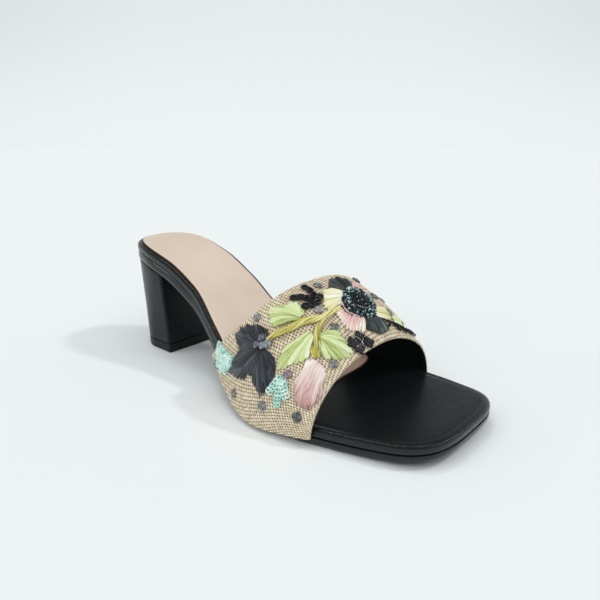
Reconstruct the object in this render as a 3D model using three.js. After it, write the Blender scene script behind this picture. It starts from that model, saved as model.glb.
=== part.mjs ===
// Block heel mule sandal, the right shoe of a pair, in millimetres.
// +X runs from the heel to the toe, +Y to the inner (big toe) side, +Z up from the floor.
// The origin is the middle of the heel's bottom face.
import * as THREE from "three";

// Driving sizes of the last and the sole
const LENGTH = 239;
const BALL_WIDTH = 94.5;
const SEAT_WIDTH = 53;
const HEEL_HEIGHT = 60.2;
const TOE_SPRING = 3.4;
const SEAT_ROUND = 36;
const SEAT_SQUARENESS = 2.5;
const TOE_ROUND = 26;
const TOE_SQUARENESS = 3.5;

// Thicknesses, and the clearance between pieces that meet
const OUTSOLE_FORE = 4.6;
const OUTSOLE_SHANK = 5.4;
const OUTSOLE_RIM = 2;
const OUTSOLE_EDGE = 0.4;
const OUTSOLE_BEVEL = 1.7;
const WAIST_BEVEL = 0.7;
const FOOTBED = 4.6;
const FOOTBED_ROUND = 2.4;
const WAIST_START = 0.464;
const WAIST_END = 0.632;
const SOCK = 1;
const SOCK_INSET_SEAT = 3;
const SOCK_INSET_FRONT = 1;
const SOCK_LENGTH = 165;
const SOCK_ROUND = 20;
const UPPER_WALL = 2.3;
const FIT_GAP = 0.3;
const STRAP_GAP = 0.7;
const THREAD_GAP = 0.6;

// The block heel and its lift
const HEEL_TOP_LENGTH = 42.4;
const HEEL_TOP_INSET = 0.6;
const BREAST_AT = 43;
const TREAD_LENGTH = 37;
const TREAD_WIDTH = 45.6;
const TREAD_ROUND = 20;
const BREAST_CORNER = 1.6;
const LIFT = 6;
const LIFT_CHAMFER = 0.6;

// The strap: crown heights over the footbed at its rear edge and at its mouth, and how far
// the crown leans to the inner side
const INSTEP_RISE = 51.3;
const MOUTH_RISE = 22.8;
const STRAP_LEAN_REAR = 0.21;
const STRAP_LEAN_MOUTH = 0.26;
const SIDE_FULLNESS = 0.733;
const CROWN_FULLNESS = 1.01;

// Embroidery: thickness of raffia work, of bead work and of the brooch
const RAFFIA = 1.3;
const BEADS = 1.8;
const STEM_WIDTH = 2.8;
const STEM_HEIGHT = 1.9;
const STEM_TAPER = 0.45;
const RIM_DROP = 0.45;
const MOTIF_UNIT = 1;
const BROOCH_RADIUS = 10;
const BROOCH_HEIGHT = 3.4;

// Plan of the footbed: a row for each section of the last. centre is the middle line, a share
// of the ball width; the half width is seat x SEAT_WIDTH + ball x BALL_WIDTH.
const PLAN = [
  { at: 0, centre: 0.02, seat: 0.5, ball: 0 },
  { at: 0.075, centre: 0.013, seat: 0.498, ball: 0 },
  { at: 0.151, centre: -0.003, seat: 0.494, ball: 0 },
  { at: 0.293, centre: -0.005, seat: 0.481, ball: 0 },
  { at: 0.435, centre: -0.051, seat: 0.3, ball: 0.141 },
  { at: 0.514, centre: -0.065, seat: 0.08, ball: 0.343 },
  { at: 0.598, centre: -0.066, seat: 0, ball: 0.463 },
  { at: 0.669, centre: -0.045, seat: 0, ball: 0.498 },
  { at: 0.733, centre: -0.022, seat: 0, ball: 0.5 },
  { at: 0.795, centre: -0.004, seat: 0, ball: 0.478 },
  { at: 0.858, centre: 0.007, seat: 0, ball: 0.448 },
  { at: 0.912, centre: 0.01, seat: 0, ball: 0.413 },
  { at: 1, centre: 0.01, seat: 0, ball: 0.354 },
];

// Side view of the sole's underside: climb is a share of the heel height, spring of the toe spring
const PROFILE = [
  { at: 0, climb: 1, spring: 0 },
  { at: 0.092, climb: 0.963, spring: 0 },
  { at: 0.192, climb: 0.864, spring: 0 },
  { at: 0.291, climb: 0.668, spring: 0 },
  { at: 0.391, climb: 0.408, spring: 0 },
  { at: 0.491, climb: 0.183, spring: 0 },
  { at: 0.59, climb: 0.051, spring: 0 },
  { at: 0.689, climb: 0, spring: 0 },
  { at: 0.789, climb: 0, spring: 0 },
  { at: 0.889, climb: 0, spring: 0.24 },
  { at: 1, climb: 0, spring: 1 },
];

// Crown of the last over the footbed, as shares of the instep and mouth rises
const CROWN = [
  { at: 0.419, instep: 1.2, mouth: 0 },
  { at: 0.523, instep: 1, mouth: 0 },
  { at: 0.628, instep: 1, mouth: 0 },
  { at: 0.711, instep: 0.47, mouth: 0.77 },
  { at: 0.795, instep: 0, mouth: 1 },
  { at: 0.849, instep: -0.12, mouth: 1 },
];

// How much of the footbed and sole the strap's feet cover, from none to both layers
const FOOT_COVER = [
  { at: 0.395, cover: 1 },
  { at: 0.592, cover: 1 },
  { at: 0.691, cover: 0.72 },
  { at: 0.78, cover: 0.48 },
];

// The strap's two edges: around is in degrees over the foot, from the outer side to the inner
const REAR_EDGE = [
  { around: 0, at: 0.427 },
  { around: 30, at: 0.501 },
  { around: 60, at: 0.566 },
  { around: 90, at: 0.607 },
  { around: 118, at: 0.63 },
  { around: 135, at: 0.626 },
  { around: 160, at: 0.583 },
  { around: 180, at: 0.513 },
];
const MOUTH_EDGE = [
  { around: 0, at: 0.776 },
  { around: 45, at: 0.776 },
  { around: 90, at: 0.778 },
  { around: 135, at: 0.795 },
  { around: 180, at: 0.799 },
];

// Embroidered motifs on the strap: a centre, a core radius and lobes in motif units. A lobe
// points to turn (0 to the toe, 90 up and over the foot), and spread is its half angle.
const MOTIFS = [
  {
    name: "flower_dark", colour: 0x2b2f3a, at: 0.621, around: 48, core: 5, height: RAFFIA,
    lobes: [
      { turn: -167, reach: 21, spread: 36 },
      { turn: -117, reach: 28.5, spread: 27 },
      { turn: -54, reach: 26, spread: 34 },
    ],
  },
  {
    name: "leaf_rear", colour: 0xc9d88a, at: 0.64, around: 67, core: 4.8, height: RAFFIA,
    lobes: [
      { turn: 133, reach: 10, spread: 30 },
      { turn: 176, reach: 13, spread: 40 },
      { turn: -128, reach: 8.4, spread: 36 },
    ],
  },
  {
    name: "leaf_middle", colour: 0xcfdf9a, at: 0.691, around: 56, core: 4, height: RAFFIA,
    lobes: [
      { turn: 97, reach: 8.5, spread: 32 },
      { turn: 175, reach: 6, spread: 32 },
      { turn: -100, reach: 12, spread: 30 },
      { turn: -62, reach: 8, spread: 28 },
    ],
  },
  {
    name: "leaf_front", colour: 0xc4dd92, at: 0.743, around: 74, core: 5, height: RAFFIA,
    lobes: [
      { turn: -170, reach: 7, spread: 30 },
      { turn: 28, reach: 10.3, spread: 34 },
      { turn: -66, reach: 8.6, spread: 26 },
      { turn: -118, reach: 7.2, spread: 26 },
    ],
  },
  {
    name: "bud_pink", colour: 0xd9a7a4, at: 0.746, around: 42, core: 7, height: RAFFIA,
    lobes: [
      { turn: 112, reach: 10.5, spread: 48 },
      { turn: -66, reach: 13.5, spread: 48 },
    ],
  },
  {
    name: "fan_rear", colour: 0x8fd6c8, at: 0.506, around: 18.5, core: 5, height: RAFFIA,
    lobes: [
      { turn: -142, reach: 10, spread: 40 },
      { turn: 60, reach: 7, spread: 45 },
    ],
  },
  {
    name: "fan_front", colour: 0x9fdccd, at: 0.699, around: 29.5, core: 3.2, height: RAFFIA,
    lobes: [
      { turn: 108, reach: 5, spread: 34 },
      { turn: -140, reach: 5.6, spread: 24 },
      { turn: -78, reach: 8.8, spread: 22 },
      { turn: -34, reach: 7.4, spread: 24 },
    ],
  },
  {
    name: "sprig_rear", colour: 0x15161a, at: 0.657, around: 83, core: 3.1, height: BEADS,
    lobes: [
      { turn: 154, reach: 11, spread: 26 },
      { turn: -145, reach: 10.8, spread: 28 },
      { turn: -82, reach: 7.6, spread: 28 },
    ],
  },
  {
    name: "sprig_front", colour: 0x15161a, at: 0.762, around: 86, core: 2.8, height: BEADS,
    lobes: [
      { turn: 120, reach: 5, spread: 34 },
      { turn: 46, reach: 6.8, spread: 28 },
      { turn: -50, reach: 6.4, spread: 30 },
      { turn: -118, reach: 6.8, spread: 30 },
    ],
  },
];

// The brooch at the middle of the inner flower, and the petals that ring it
const BROOCH_AT = 0.709;
const BROOCH_AROUND = 98;
const RING_PETALS = [
  { turn: -170, reach: 19, spread: 30 },
  { turn: -128, reach: 16.5, spread: 24 },
  { turn: -78, reach: 14.8, spread: 34 },
  { turn: -14, reach: 16.4, spread: 28 },
  { turn: 48, reach: 29, spread: 30 },
  { turn: 100, reach: 18, spread: 26 },
  { turn: 140, reach: 16, spread: 28 },
];
const STEM_LINE = [
  { at: 0.636, around: 54.5 },
  { at: 0.656, around: 59.5 },
  { at: 0.671, around: 68.5 },
  { at: 0.685, around: 76.5 },
];

// Fineness of the faceted solids
const SEAT_STEPS = 7;
const SIDE_STEPS = 19;
const TOE_STEPS = 7;
const STRAP_AROUND = 44;
const STRAP_ALONG = 9;
const MOTIF_SPOKES = 26;
const MOTIF_RINGS = 4;
const STEM_STEPS = 12;
const PROBE = 0.01;

const RIGHT_ANGLE = Math.PI / 2;
const radians = THREE.MathUtils.degToRad;
const clamp = THREE.MathUtils.clamp;
const mix = THREE.MathUtils.lerp;

// A smooth curve through table rows that never overshoots between two rows
function curve(rows, place, read) {
  const x = rows.map(place);
  const y = rows.map(read);
  const last = x.length - 1;
  const rise = x.slice(1).map((value, i) => (y[i + 1] - y[i]) / (value - x[i]));
  const slope = x.map((value, i) => {
    if (i === 0) return rise[0];
    if (i === last) return rise[last - 1];
    if (rise[i - 1] * rise[i] <= 0) return 0;
    return (2 * rise[i - 1] * rise[i]) / (rise[i - 1] + rise[i]);
  });
  return (value) => {
    const v = clamp(value, x[0], x[last]);
    let i = 0;
    while (i < last - 1 && v > x[i + 1]) i += 1;
    const span = x[i + 1] - x[i];
    const t = (v - x[i]) / span;
    const low = y[i] * (1 + 2 * t) * (1 - t) ** 2 + slope[i] * span * t * (1 - t) ** 2;
    const high = y[i + 1] * t * t * (3 - 2 * t) + slope[i + 1] * span * t * t * (t - 1);
    return low + high;
  };
}

const along = (row) => row.at * LENGTH;
const overFoot = (row) => radians(row.around);
const centreLine = curve(PLAN, along, (row) => row.centre * BALL_WIDTH);
const halfWidth = curve(PLAN, along, (row) => row.seat * SEAT_WIDTH + row.ball * BALL_WIDTH);
const underside = curve(PROFILE, along, (row) => row.climb * HEEL_HEIGHT + row.spring * TOE_SPRING);
const crownRise = curve(CROWN, along, (row) => row.instep * INSTEP_RISE + row.mouth * MOUTH_RISE);
const footCover = curve(FOOT_COVER, along, (row) => row.cover);
const rearEdge = curve(REAR_EDGE, overFoot, along);
const mouthEdge = curve(MOUTH_EDGE, overFoot, along);

// Slope factor that turns a thickness across a layer into a height
function steepness(x) {
  const rise = (underside(x + PROBE) - underside(x - PROBE)) / (2 * PROBE);
  return Math.hypot(1, rise);
}

// 0 at the heel and the waist of the sole, 1 at its forepart
function forepart(x) {
  return THREE.MathUtils.smoothstep(x / LENGTH, WAIST_START, WAIST_END);
}

// Heights of the layers, from the sole's underside up
function outsoleTop(x) {
  return underside(x) + mix(OUTSOLE_SHANK, OUTSOLE_FORE, forepart(x)) * steepness(x);
}
const footbedUnder = (x) => outsoleTop(x) + FIT_GAP * steepness(x);
const footbedTop = (x) => footbedUnder(x) + FOOTBED * steepness(x);

// Half of the footbed's plan with its round heel seat and square toe: x and the share of the
// full half width that is left there
function planStations() {
  const rows = [];
  for (let i = 0; i < SEAT_STEPS; i += 1) {
    const angle = (i / SEAT_STEPS) * RIGHT_ANGLE;
    const back = Math.cos(angle) ** (2 / SEAT_SQUARENESS);
    rows.push({ x: SEAT_ROUND * (1 - back), share: Math.sin(angle) ** (2 / SEAT_SQUARENESS) });
  }
  const straight = LENGTH - TOE_ROUND - SEAT_ROUND;
  for (let i = 0; i <= SIDE_STEPS; i += 1) {
    rows.push({ x: SEAT_ROUND + (i / SIDE_STEPS) * straight, share: 1 });
  }
  for (let i = 1; i <= TOE_STEPS; i += 1) {
    const angle = (i / TOE_STEPS) * RIGHT_ANGLE;
    const forward = Math.sin(angle) ** (2 / TOE_SQUARENESS);
    const share = Math.cos(angle) ** (2 / TOE_SQUARENESS);
    rows.push({ x: LENGTH - TOE_ROUND * (1 - forward), share: i === TOE_STEPS ? 0 : share });
  }
  return rows;
}

// The sock lining's half plan: the same seat and sides, and a rounded front end
function sockStations() {
  const rows = planStations().filter((row) => row.x < SOCK_LENGTH - 1.15 * SOCK_ROUND);
  for (let i = 0; i <= TOE_STEPS; i += 1) {
    const angle = (i / TOE_STEPS) * RIGHT_ANGLE;
    const forward = Math.sin(angle) ** (2 / TOE_SQUARENESS);
    const share = Math.cos(angle) ** (2 / TOE_SQUARENESS);
    rows.push({ x: SOCK_LENGTH - SOCK_ROUND * (1 - forward), share: i === TOE_STEPS ? 0 : share });
  }
  return rows;
}

// A closed loop in plan, counter-clockwise from the rear: down the outer side, back up the inner
function planLoop(stations) {
  const point = (row, side) => {
    const y = centreLine(row.x) + side * row.share * halfWidth(row.x);
    return new THREE.Vector2(row.x, y);
  };
  const outer = stations.map((row) => point(row, -1));
  const closed = stations[stations.length - 1].share === 0;
  const back = stations.slice(1, closed ? -1 : undefined).reverse();
  return outer.concat(back.map((row) => point(row, 1)));
}

// The same loop moved inwards by a distance along its own normal
function insetLoop(loop, distance) {
  return loop.map((point, i) => {
    const before = loop[(i + loop.length - 1) % loop.length];
    const after = loop[(i + 1) % loop.length];
    const step = after.clone().sub(before).normalize();
    const inward = typeof distance === "function" ? distance(point.x) : distance;
    return new THREE.Vector2(point.x - step.y * inward, point.y + step.x * inward);
  });
}

// A ring in space: a loop in plan with a height read at each of its points
function ring(loop, height) {
  return loop.map((point) => new THREE.Vector3(point.x, point.y, height(point.x)));
}

function makeGeometry(points, faces) {
  const geometry = new THREE.BufferGeometry();
  geometry.setAttribute("position", new THREE.Float32BufferAttribute(points.flatMap((p) => p.toArray()), 3));
  geometry.setIndex(faces.flat());
  geometry.computeVertexNormals();
  return geometry;
}

// A closed solid from rings of equal count, listed from the top down. Each cap is bridged
// straight across, from the outer side to the inner.
function stackRings(rings) {
  const count = rings[0].length;
  const faces = [];
  for (let r = 0; r < rings.length - 1; r += 1) {
    for (let i = 0; i < count; i += 1) {
      const j = (i + 1) % count;
      const upper = r * count;
      const lower = upper + count;
      faces.push([lower + i, lower + j, upper + j], [lower + i, upper + j, upper + i]);
    }
  }
  const bottom = (rings.length - 1) * count;
  for (let i = 0; i < Math.floor(count / 2); i += 1) {
    const across = [i, i + 1, count - i - 1, (count - i) % count];
    const corners = across.filter((value, k) => across.indexOf(value) === k);
    for (let k = 1; k < corners.length - 1; k += 1) {
      faces.push([corners[0], corners[k], corners[k + 1]]);
      faces.push([bottom + corners[0], bottom + corners[k + 1], bottom + corners[k]]);
    }
  }
  return makeGeometry(rings.flat(), faces);
}

// The outsole: an upright rim above a bevel that runs in to the tread
function outsole() {
  const loop = planLoop(planStations());
  const bevel = (x) => mix(WAIST_BEVEL, OUTSOLE_BEVEL, forepart(x));
  const rimLow = (x) => mix(underside(x) + WAIST_BEVEL, outsoleTop(x) - OUTSOLE_RIM, forepart(x));
  return stackRings([
    ring(insetLoop(loop, OUTSOLE_EDGE), outsoleTop),
    ring(loop, (x) => outsoleTop(x) - OUTSOLE_EDGE),
    ring(loop, rimLow),
    ring(insetLoop(loop, bevel), underside),
  ]);
}

// The wrapped footbed: its edge is rounded over, top and bottom
function footbed() {
  const loop = planLoop(planStations());
  const rows = [
    { inset: 1, down: 0 },
    { inset: 0.42, down: 0.08 },
    { inset: 0.1, down: 0.24 },
    { inset: 0, down: 0.48 },
    { inset: 0, down: 0.8 },
    { inset: 0.2, down: 1 },
  ];
  return stackRings(rows.map((row) => {
    const height = (x) => mix(footbedTop(x), footbedUnder(x), row.down);
    return ring(insetLoop(loop, row.inset * FOOTBED_ROUND), height);
  }));
}

// The sock lining: a thin sheet that lies on the footbed, in from its edge
function sockLining() {
  const inset = (x) => mix(SOCK_INSET_SEAT, SOCK_INSET_FRONT, x / SOCK_LENGTH);
  const loop = insetLoop(planLoop(sockStations()), inset);
  const seat = (x) => footbedTop(x) + FIT_GAP * steepness(x);
  return stackRings([
    ring(insetLoop(loop, SOCK / 2), (x) => seat(x) + SOCK * steepness(x)),
    ring(loop, (x) => seat(x) + (SOCK / 2) * steepness(x)),
    ring(loop, seat),
  ]);
}

// A level section of the heel, D shaped: round behind, flat in front. up is 0 at the floor
// and 1 under the sole.
function heelLoop(up) {
  const rear = mix(BREAST_AT - TREAD_LENGTH, BREAST_AT - HEEL_TOP_LENGTH, up);
  const half = mix(TREAD_WIDTH / 2, SEAT_WIDTH / 2 - HEEL_TOP_INSET, up);
  const round = mix(TREAD_ROUND, SEAT_ROUND - HEEL_TOP_INSET, up);
  const stations = [];
  const squareness = mix(2, SEAT_SQUARENESS, up);
  for (let i = 0; i <= SEAT_STEPS + 1; i += 1) {
    const angle = (i / (SEAT_STEPS + 1)) * RIGHT_ANGLE;
    const back = Math.cos(angle) ** (2 / squareness);
    stations.push({ x: rear + round * (1 - back), y: half * Math.sin(angle) ** (2 / squareness) });
  }
  stations.push({ x: (rear + round + BREAST_AT - BREAST_CORNER) / 2, y: half });
  stations.push({ x: BREAST_AT - BREAST_CORNER, y: half });
  stations.push({ x: BREAST_AT - BREAST_CORNER * 0.3, y: half - BREAST_CORNER * 0.3 });
  stations.push({ x: BREAST_AT, y: half - BREAST_CORNER });
  const place = (row, side) => new THREE.Vector2(row.x, centreLine(row.x) * up + side * row.y);
  const outer = stations.map((row) => place(row, -1));
  return outer.concat(stations.slice(1).reverse().map((row) => place(row, 1)));
}

// The heel block: four sections between the sole and the lift
function heelBlock() {
  const levels = [1, 2 / 3, 1 / 3, 0];
  return stackRings(levels.map((up) => {
    const height = (x) => mix(LIFT + FIT_GAP, underside(x) - FIT_GAP, up);
    return ring(heelLoop(up), height);
  }));
}

// The top lift: the flat wearing piece, with a small bevel at the floor
function topLift() {
  const loop = heelLoop(0);
  return stackRings([
    ring(loop, () => LIFT),
    ring(loop, () => LIFT_CHAMFER),
    ring(insetLoop(loop, LIFT_CHAMFER), () => 0),
  ]);
}

// The last's own surface under the strap, at x and an angle over the foot. The strap's outer
// face, its lining face and every overlay are taken from this one function.
function lastPoint(x, angle) {
  const reach = UPPER_WALL + STRAP_GAP;
  const side = (way) => {
    const edge = (value) => centreLine(value) + way * halfWidth(value);
    const turn = (edge(x + PROBE) - edge(x - PROBE)) / (2 * PROBE);
    return edge(x) + way * reach * Math.hypot(1, turn);
  };
  const outer = side(-1);
  const inner = side(1);
  const across = -Math.cos(angle);
  const over = Math.sin(angle);
  const share = Math.sign(across) * Math.abs(across) ** SIDE_FULLNESS;
  const y = (outer + inner) / 2 + ((inner - outer) / 2) * share;
  const foot = mix(footbedTop(x), underside(x) + FIT_GAP, footCover(x));
  const mouth = (x - rearEdge(0)) / (mouthEdge(0) - rearEdge(0));
  const lean = 1 + mix(STRAP_LEAN_REAR, STRAP_LEAN_MOUTH, mouth) * across;
  const height = footbedTop(x) + crownRise(x) - foot;
  return new THREE.Vector3(x, y, foot + height * Math.max(over, 0) ** CROWN_FULLNESS * lean);
}

// A point at a distance off the last's surface, along its normal
function strapPoint(x, angle, lift) {
  const inside = clamp(angle, PROBE, Math.PI - PROBE);
  const forward = lastPoint(x + PROBE, inside).sub(lastPoint(x - PROBE, inside));
  const around = lastPoint(x, inside + PROBE / 10).sub(lastPoint(x, inside - PROBE / 10));
  const normal = forward.cross(around).normalize();
  return lastPoint(x, clamp(angle, 0, Math.PI)).addScaledVector(normal, lift);
}

// The strap: one wall, open at the rear edge, at the mouth and underneath
function upper() {
  const points = [];
  const faces = [];
  const row = STRAP_ALONG + 1;
  const sheet = row * (STRAP_AROUND + 1);
  for (const lift of [0, -UPPER_WALL]) {
    for (let i = 0; i <= STRAP_AROUND; i += 1) {
      const angle = (i / STRAP_AROUND) * Math.PI;
      for (let j = 0; j <= STRAP_ALONG; j += 1) {
        const x = mix(rearEdge(angle), mouthEdge(angle), j / STRAP_ALONG);
        points.push(strapPoint(x, angle, lift));
      }
    }
  }
  const quad = (a, b, c, d) => faces.push([a, b, c], [a, c, d]);
  const outer = (i, j) => i * row + j;
  const lining = (i, j) => sheet + i * row + j;
  for (let i = 0; i < STRAP_AROUND; i += 1) {
    for (let j = 0; j < STRAP_ALONG; j += 1) {
      quad(outer(i, j), outer(i, j + 1), outer(i + 1, j + 1), outer(i + 1, j));
      quad(lining(i, j), lining(i + 1, j), lining(i + 1, j + 1), lining(i, j + 1));
    }
    quad(outer(i, 0), outer(i + 1, 0), lining(i + 1, 0), lining(i, 0));
    const end = STRAP_ALONG;
    quad(outer(i + 1, end), outer(i, end), lining(i, end), lining(i + 1, end));
  }
  for (let j = 0; j < STRAP_ALONG; j += 1) {
    const far = STRAP_AROUND;
    quad(outer(0, j + 1), outer(0, j), lining(0, j), lining(0, j + 1));
    quad(outer(far, j), outer(far, j + 1), lining(far, j + 1), lining(far, j));
  }
  return makeGeometry(points, faces);
}

// Turns a step in millimetres on the strap's surface, forward and over the foot, into the
// strap's own coordinates
function strapFrame(at, around) {
  const x = at * LENGTH;
  const angle = radians(around);
  const forward = lastPoint(x + PROBE, angle).sub(lastPoint(x - PROBE, angle)).divideScalar(2 * PROBE);
  const over = lastPoint(x, angle + PROBE).sub(lastPoint(x, angle - PROBE)).divideScalar(2 * PROBE);
  const ahead = forward.clone().normalize();
  const skew = over.dot(ahead);
  const up = over.clone().addScaledVector(ahead, -skew).length();
  return (a, b) => ({ x: x + (a - (b * skew) / up) / forward.length(), angle: angle + b / up });
}

// How far a motif reaches in a direction: its core, or the lobe that points that way
function lobeReach(core, lobes, degrees) {
  const reaches = lobes.map((lobe) => {
    const away = Math.abs(((degrees - lobe.turn + 540) % 360) - 180);
    return lobe.reach * Math.max(0, 1 - (away / lobe.spread) ** 3);
  });
  return Math.max(core, ...reaches);
}

// A raised motif that follows the strap: rings of points from its rim to its middle, or to
// the edge of a round hole, on a face just off the strap and on a crowned face above it
function motifSolid({ at, around, core, lobes, height }, hole = 0) {
  const place = strapFrame(at, around);
  const points = [];
  const faces = [];
  const rings = MOTIF_RINGS + (hole > 0 ? 1 : 0);
  const sheet = rings * MOTIF_SPOKES;
  for (const top of [false, true]) {
    for (let r = 0; r < rings; r += 1) {
      const share = 1 - r / MOTIF_RINGS;
      for (let s = 0; s < MOTIF_SPOKES; s += 1) {
        const turn = (s / MOTIF_SPOKES) * 360 - 180;
        const reach = mix(hole, MOTIF_UNIT * lobeReach(core, lobes, turn), share);
        const spot = place(reach * Math.cos(radians(turn)), reach * Math.sin(radians(turn)));
        const crowned = THREAD_GAP + height * (1 - RIM_DROP * share ** 3);
        points.push(strapPoint(spot.x, spot.angle, top ? crowned : THREAD_GAP));
      }
    }
  }
  const index = (top, r, s) => (top ? sheet : 0) + r * MOTIF_SPOKES + (s % MOTIF_SPOKES);
  const quad = (a, b, c, d) => faces.push([a, b, c], [a, c, d]);
  for (let s = 0; s < MOTIF_SPOKES; s += 1) {
    for (let r = 0; r < rings - 1; r += 1) {
      quad(index(true, r, s), index(true, r, s + 1), index(true, r + 1, s + 1), index(true, r + 1, s));
      quad(index(false, r, s + 1), index(false, r, s), index(false, r + 1, s), index(false, r + 1, s + 1));
    }
    quad(index(false, 0, s), index(false, 0, s + 1), index(true, 0, s + 1), index(true, 0, s));
    const last = rings - 1;
    if (hole > 0) {
      quad(index(false, last, s + 1), index(false, last, s), index(true, last, s), index(true, last, s + 1));
    }
  }
  if (hole === 0) {
    const middle = place(0, 0);
    const under = points.push(strapPoint(middle.x, middle.angle, THREAD_GAP)) - 1;
    const above = points.push(strapPoint(middle.x, middle.angle, THREAD_GAP + height)) - 1;
    for (let s = 0; s < MOTIF_SPOKES; s += 1) {
      faces.push([index(true, rings - 1, s), index(true, rings - 1, s + 1), above]);
      faces.push([index(false, rings - 1, s + 1), index(false, rings - 1, s), under]);
    }
  }
  return makeGeometry(points, faces);
}

// The stem: a low rounded ridge laid along a line on the strap
function stem() {
  const line = new THREE.CatmullRomCurve3(
    STEM_LINE.map((row) => new THREE.Vector3(row.at * LENGTH, radians(row.around), 0)),
  );
  const points = [];
  const faces = [];
  const section = [
    { side: -0.5, lift: THREAD_GAP },
    { side: -0.3, lift: STEM_HEIGHT },
    { side: 0.3, lift: STEM_HEIGHT },
    { side: 0.5, lift: THREAD_GAP },
  ];
  for (let i = 0; i <= STEM_STEPS; i += 1) {
    const here = line.getPoint(i / STEM_STEPS);
    const tangent = line.getTangent(i / STEM_STEPS).multiplyScalar(PROBE);
    const frame = strapFrame(here.x / LENGTH, THREE.MathUtils.radToDeg(here.y));
    const start = lastPoint(here.x, here.y);
    const forward = lastPoint(here.x + PROBE, here.y).sub(start).normalize();
    const step = lastPoint(here.x + tangent.x, here.y + tangent.y).sub(start);
    const ahead = step.dot(forward);
    const turn = Math.atan2(step.addScaledVector(forward, -ahead).length(), ahead);
    const width = STEM_WIDTH * (1 - STEM_TAPER * (1 - Math.sin((i / STEM_STEPS) * Math.PI)));
    for (const row of section) {
      const spot = frame(-Math.sin(turn) * row.side * width, Math.cos(turn) * row.side * width);
      points.push(strapPoint(spot.x, spot.angle, row.lift));
    }
  }
  const count = section.length;
  for (let i = 0; i < STEM_STEPS; i += 1) {
    for (let k = 0; k < count; k += 1) {
      const next = (k + 1) % count;
      const a = i * count + k;
      const b = i * count + next;
      faces.push([a, a + count, b + count], [a, b + count, b]);
    }
  }
  const end = STEM_STEPS * count;
  faces.push([0, 1, 2], [0, 2, 3], [end, end + 2, end + 1], [end, end + 3, end + 2]);
  return makeGeometry(points, faces);
}

// Leathers, canvas and thread
const black = { color: 0x141416, roughness: 0.45, metalness: 0 };
const rubber = { color: 0x101012, roughness: 0.7, metalness: 0 };
const nude = { color: 0xe2cfbc, roughness: 0.6, metalness: 0 };
const canvas = { color: 0xc9b58f, roughness: 0.9, metalness: 0 };
const thread = (colour) => ({ color: colour, roughness: 0.6, metalness: 0 });

const shoe = new THREE.Group();

function addPiece(name, geometry, finish) {
  const piece = new THREE.Mesh(geometry, new THREE.MeshStandardMaterial(finish));
  piece.name = name;
  shoe.add(piece);
}

addPiece("outsole", outsole(), rubber);
addPiece("footbed", footbed(), black);
addPiece("sock_lining", sockLining(), nude);
addPiece("heel_block", heelBlock(), black);
addPiece("top_lift", topLift(), rubber);
addPiece("upper", upper(), canvas);
MOTIFS.forEach((motif) => addPiece(motif.name, motifSolid(motif), thread(motif.colour)));
addPiece("stem", stem(), thread(0x9a9440));
const ringPetals = { at: BROOCH_AT, around: BROOCH_AROUND, core: 14, lobes: RING_PETALS, height: RAFFIA };
addPiece("brooch_petals", motifSolid(ringPetals, BROOCH_RADIUS + FIT_GAP), thread(0x3a3d46));
const dome = { at: BROOCH_AT, around: BROOCH_AROUND, core: BROOCH_RADIUS / MOTIF_UNIT, lobes: [], height: BROOCH_HEIGHT };
addPiece("brooch", motifSolid(dome), { color: 0x17323a, roughness: 0.3, metalness: 0.2 });

shoe.position.x = -(BREAST_AT - TREAD_LENGTH / 2);

export default shoe;
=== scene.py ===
"""Looks for the block heel mule sandal: black leather sole and heel, nude sock lining and one
woven straw strap with raised raffia flowers, beads and knots. Sizes are in millimetres along
the shoe, from the back of the sole, and are turned into metres of the shared frame."""

import bmesh
import bpy
import numpy as np
from mathutils import Matrix, Vector


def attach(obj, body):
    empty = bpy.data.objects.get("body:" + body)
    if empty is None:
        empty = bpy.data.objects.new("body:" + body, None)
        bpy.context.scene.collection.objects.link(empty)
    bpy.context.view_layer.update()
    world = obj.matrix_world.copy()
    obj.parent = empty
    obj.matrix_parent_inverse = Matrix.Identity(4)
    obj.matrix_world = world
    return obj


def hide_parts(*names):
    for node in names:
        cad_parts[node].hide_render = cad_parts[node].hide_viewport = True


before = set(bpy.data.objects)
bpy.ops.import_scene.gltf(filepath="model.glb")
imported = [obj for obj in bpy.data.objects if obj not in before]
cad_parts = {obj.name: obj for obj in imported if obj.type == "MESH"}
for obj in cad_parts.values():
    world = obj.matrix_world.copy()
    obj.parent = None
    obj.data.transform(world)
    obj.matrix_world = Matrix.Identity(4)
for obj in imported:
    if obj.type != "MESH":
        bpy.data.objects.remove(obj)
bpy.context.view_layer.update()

# OUTSOLE. A moulded black rubber unit under the whole foot, 5 mm thick. Its upright rim is
# polished, and under the forepart the edge is cut back to the tread. Glued to the footbed.
LENGTH = 239
BALL_WIDTH = 94.5
SEAT_WIDTH = 53
HEEL_HEIGHT = 60.2
TOE_SPRING = 3.4
SEAT_ROUND, SEAT_SQUARENESS = 36, 2.5
TOE_ROUND, TOE_SQUARENESS = 26, 3.5
OUTSOLE_FORE, OUTSOLE_SHANK, OUTSOLE_RIM = 4.6, 5.4, 2
OUTSOLE_BEVEL, WAIST_BEVEL = 1.7, 0.7
WAIST_START, WAIST_END = 0.464, 0.632
FIT_GAP = 0.3
ORIGIN_AT = 24.5  # from the back of the sole to the middle of the heel's tread


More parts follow.
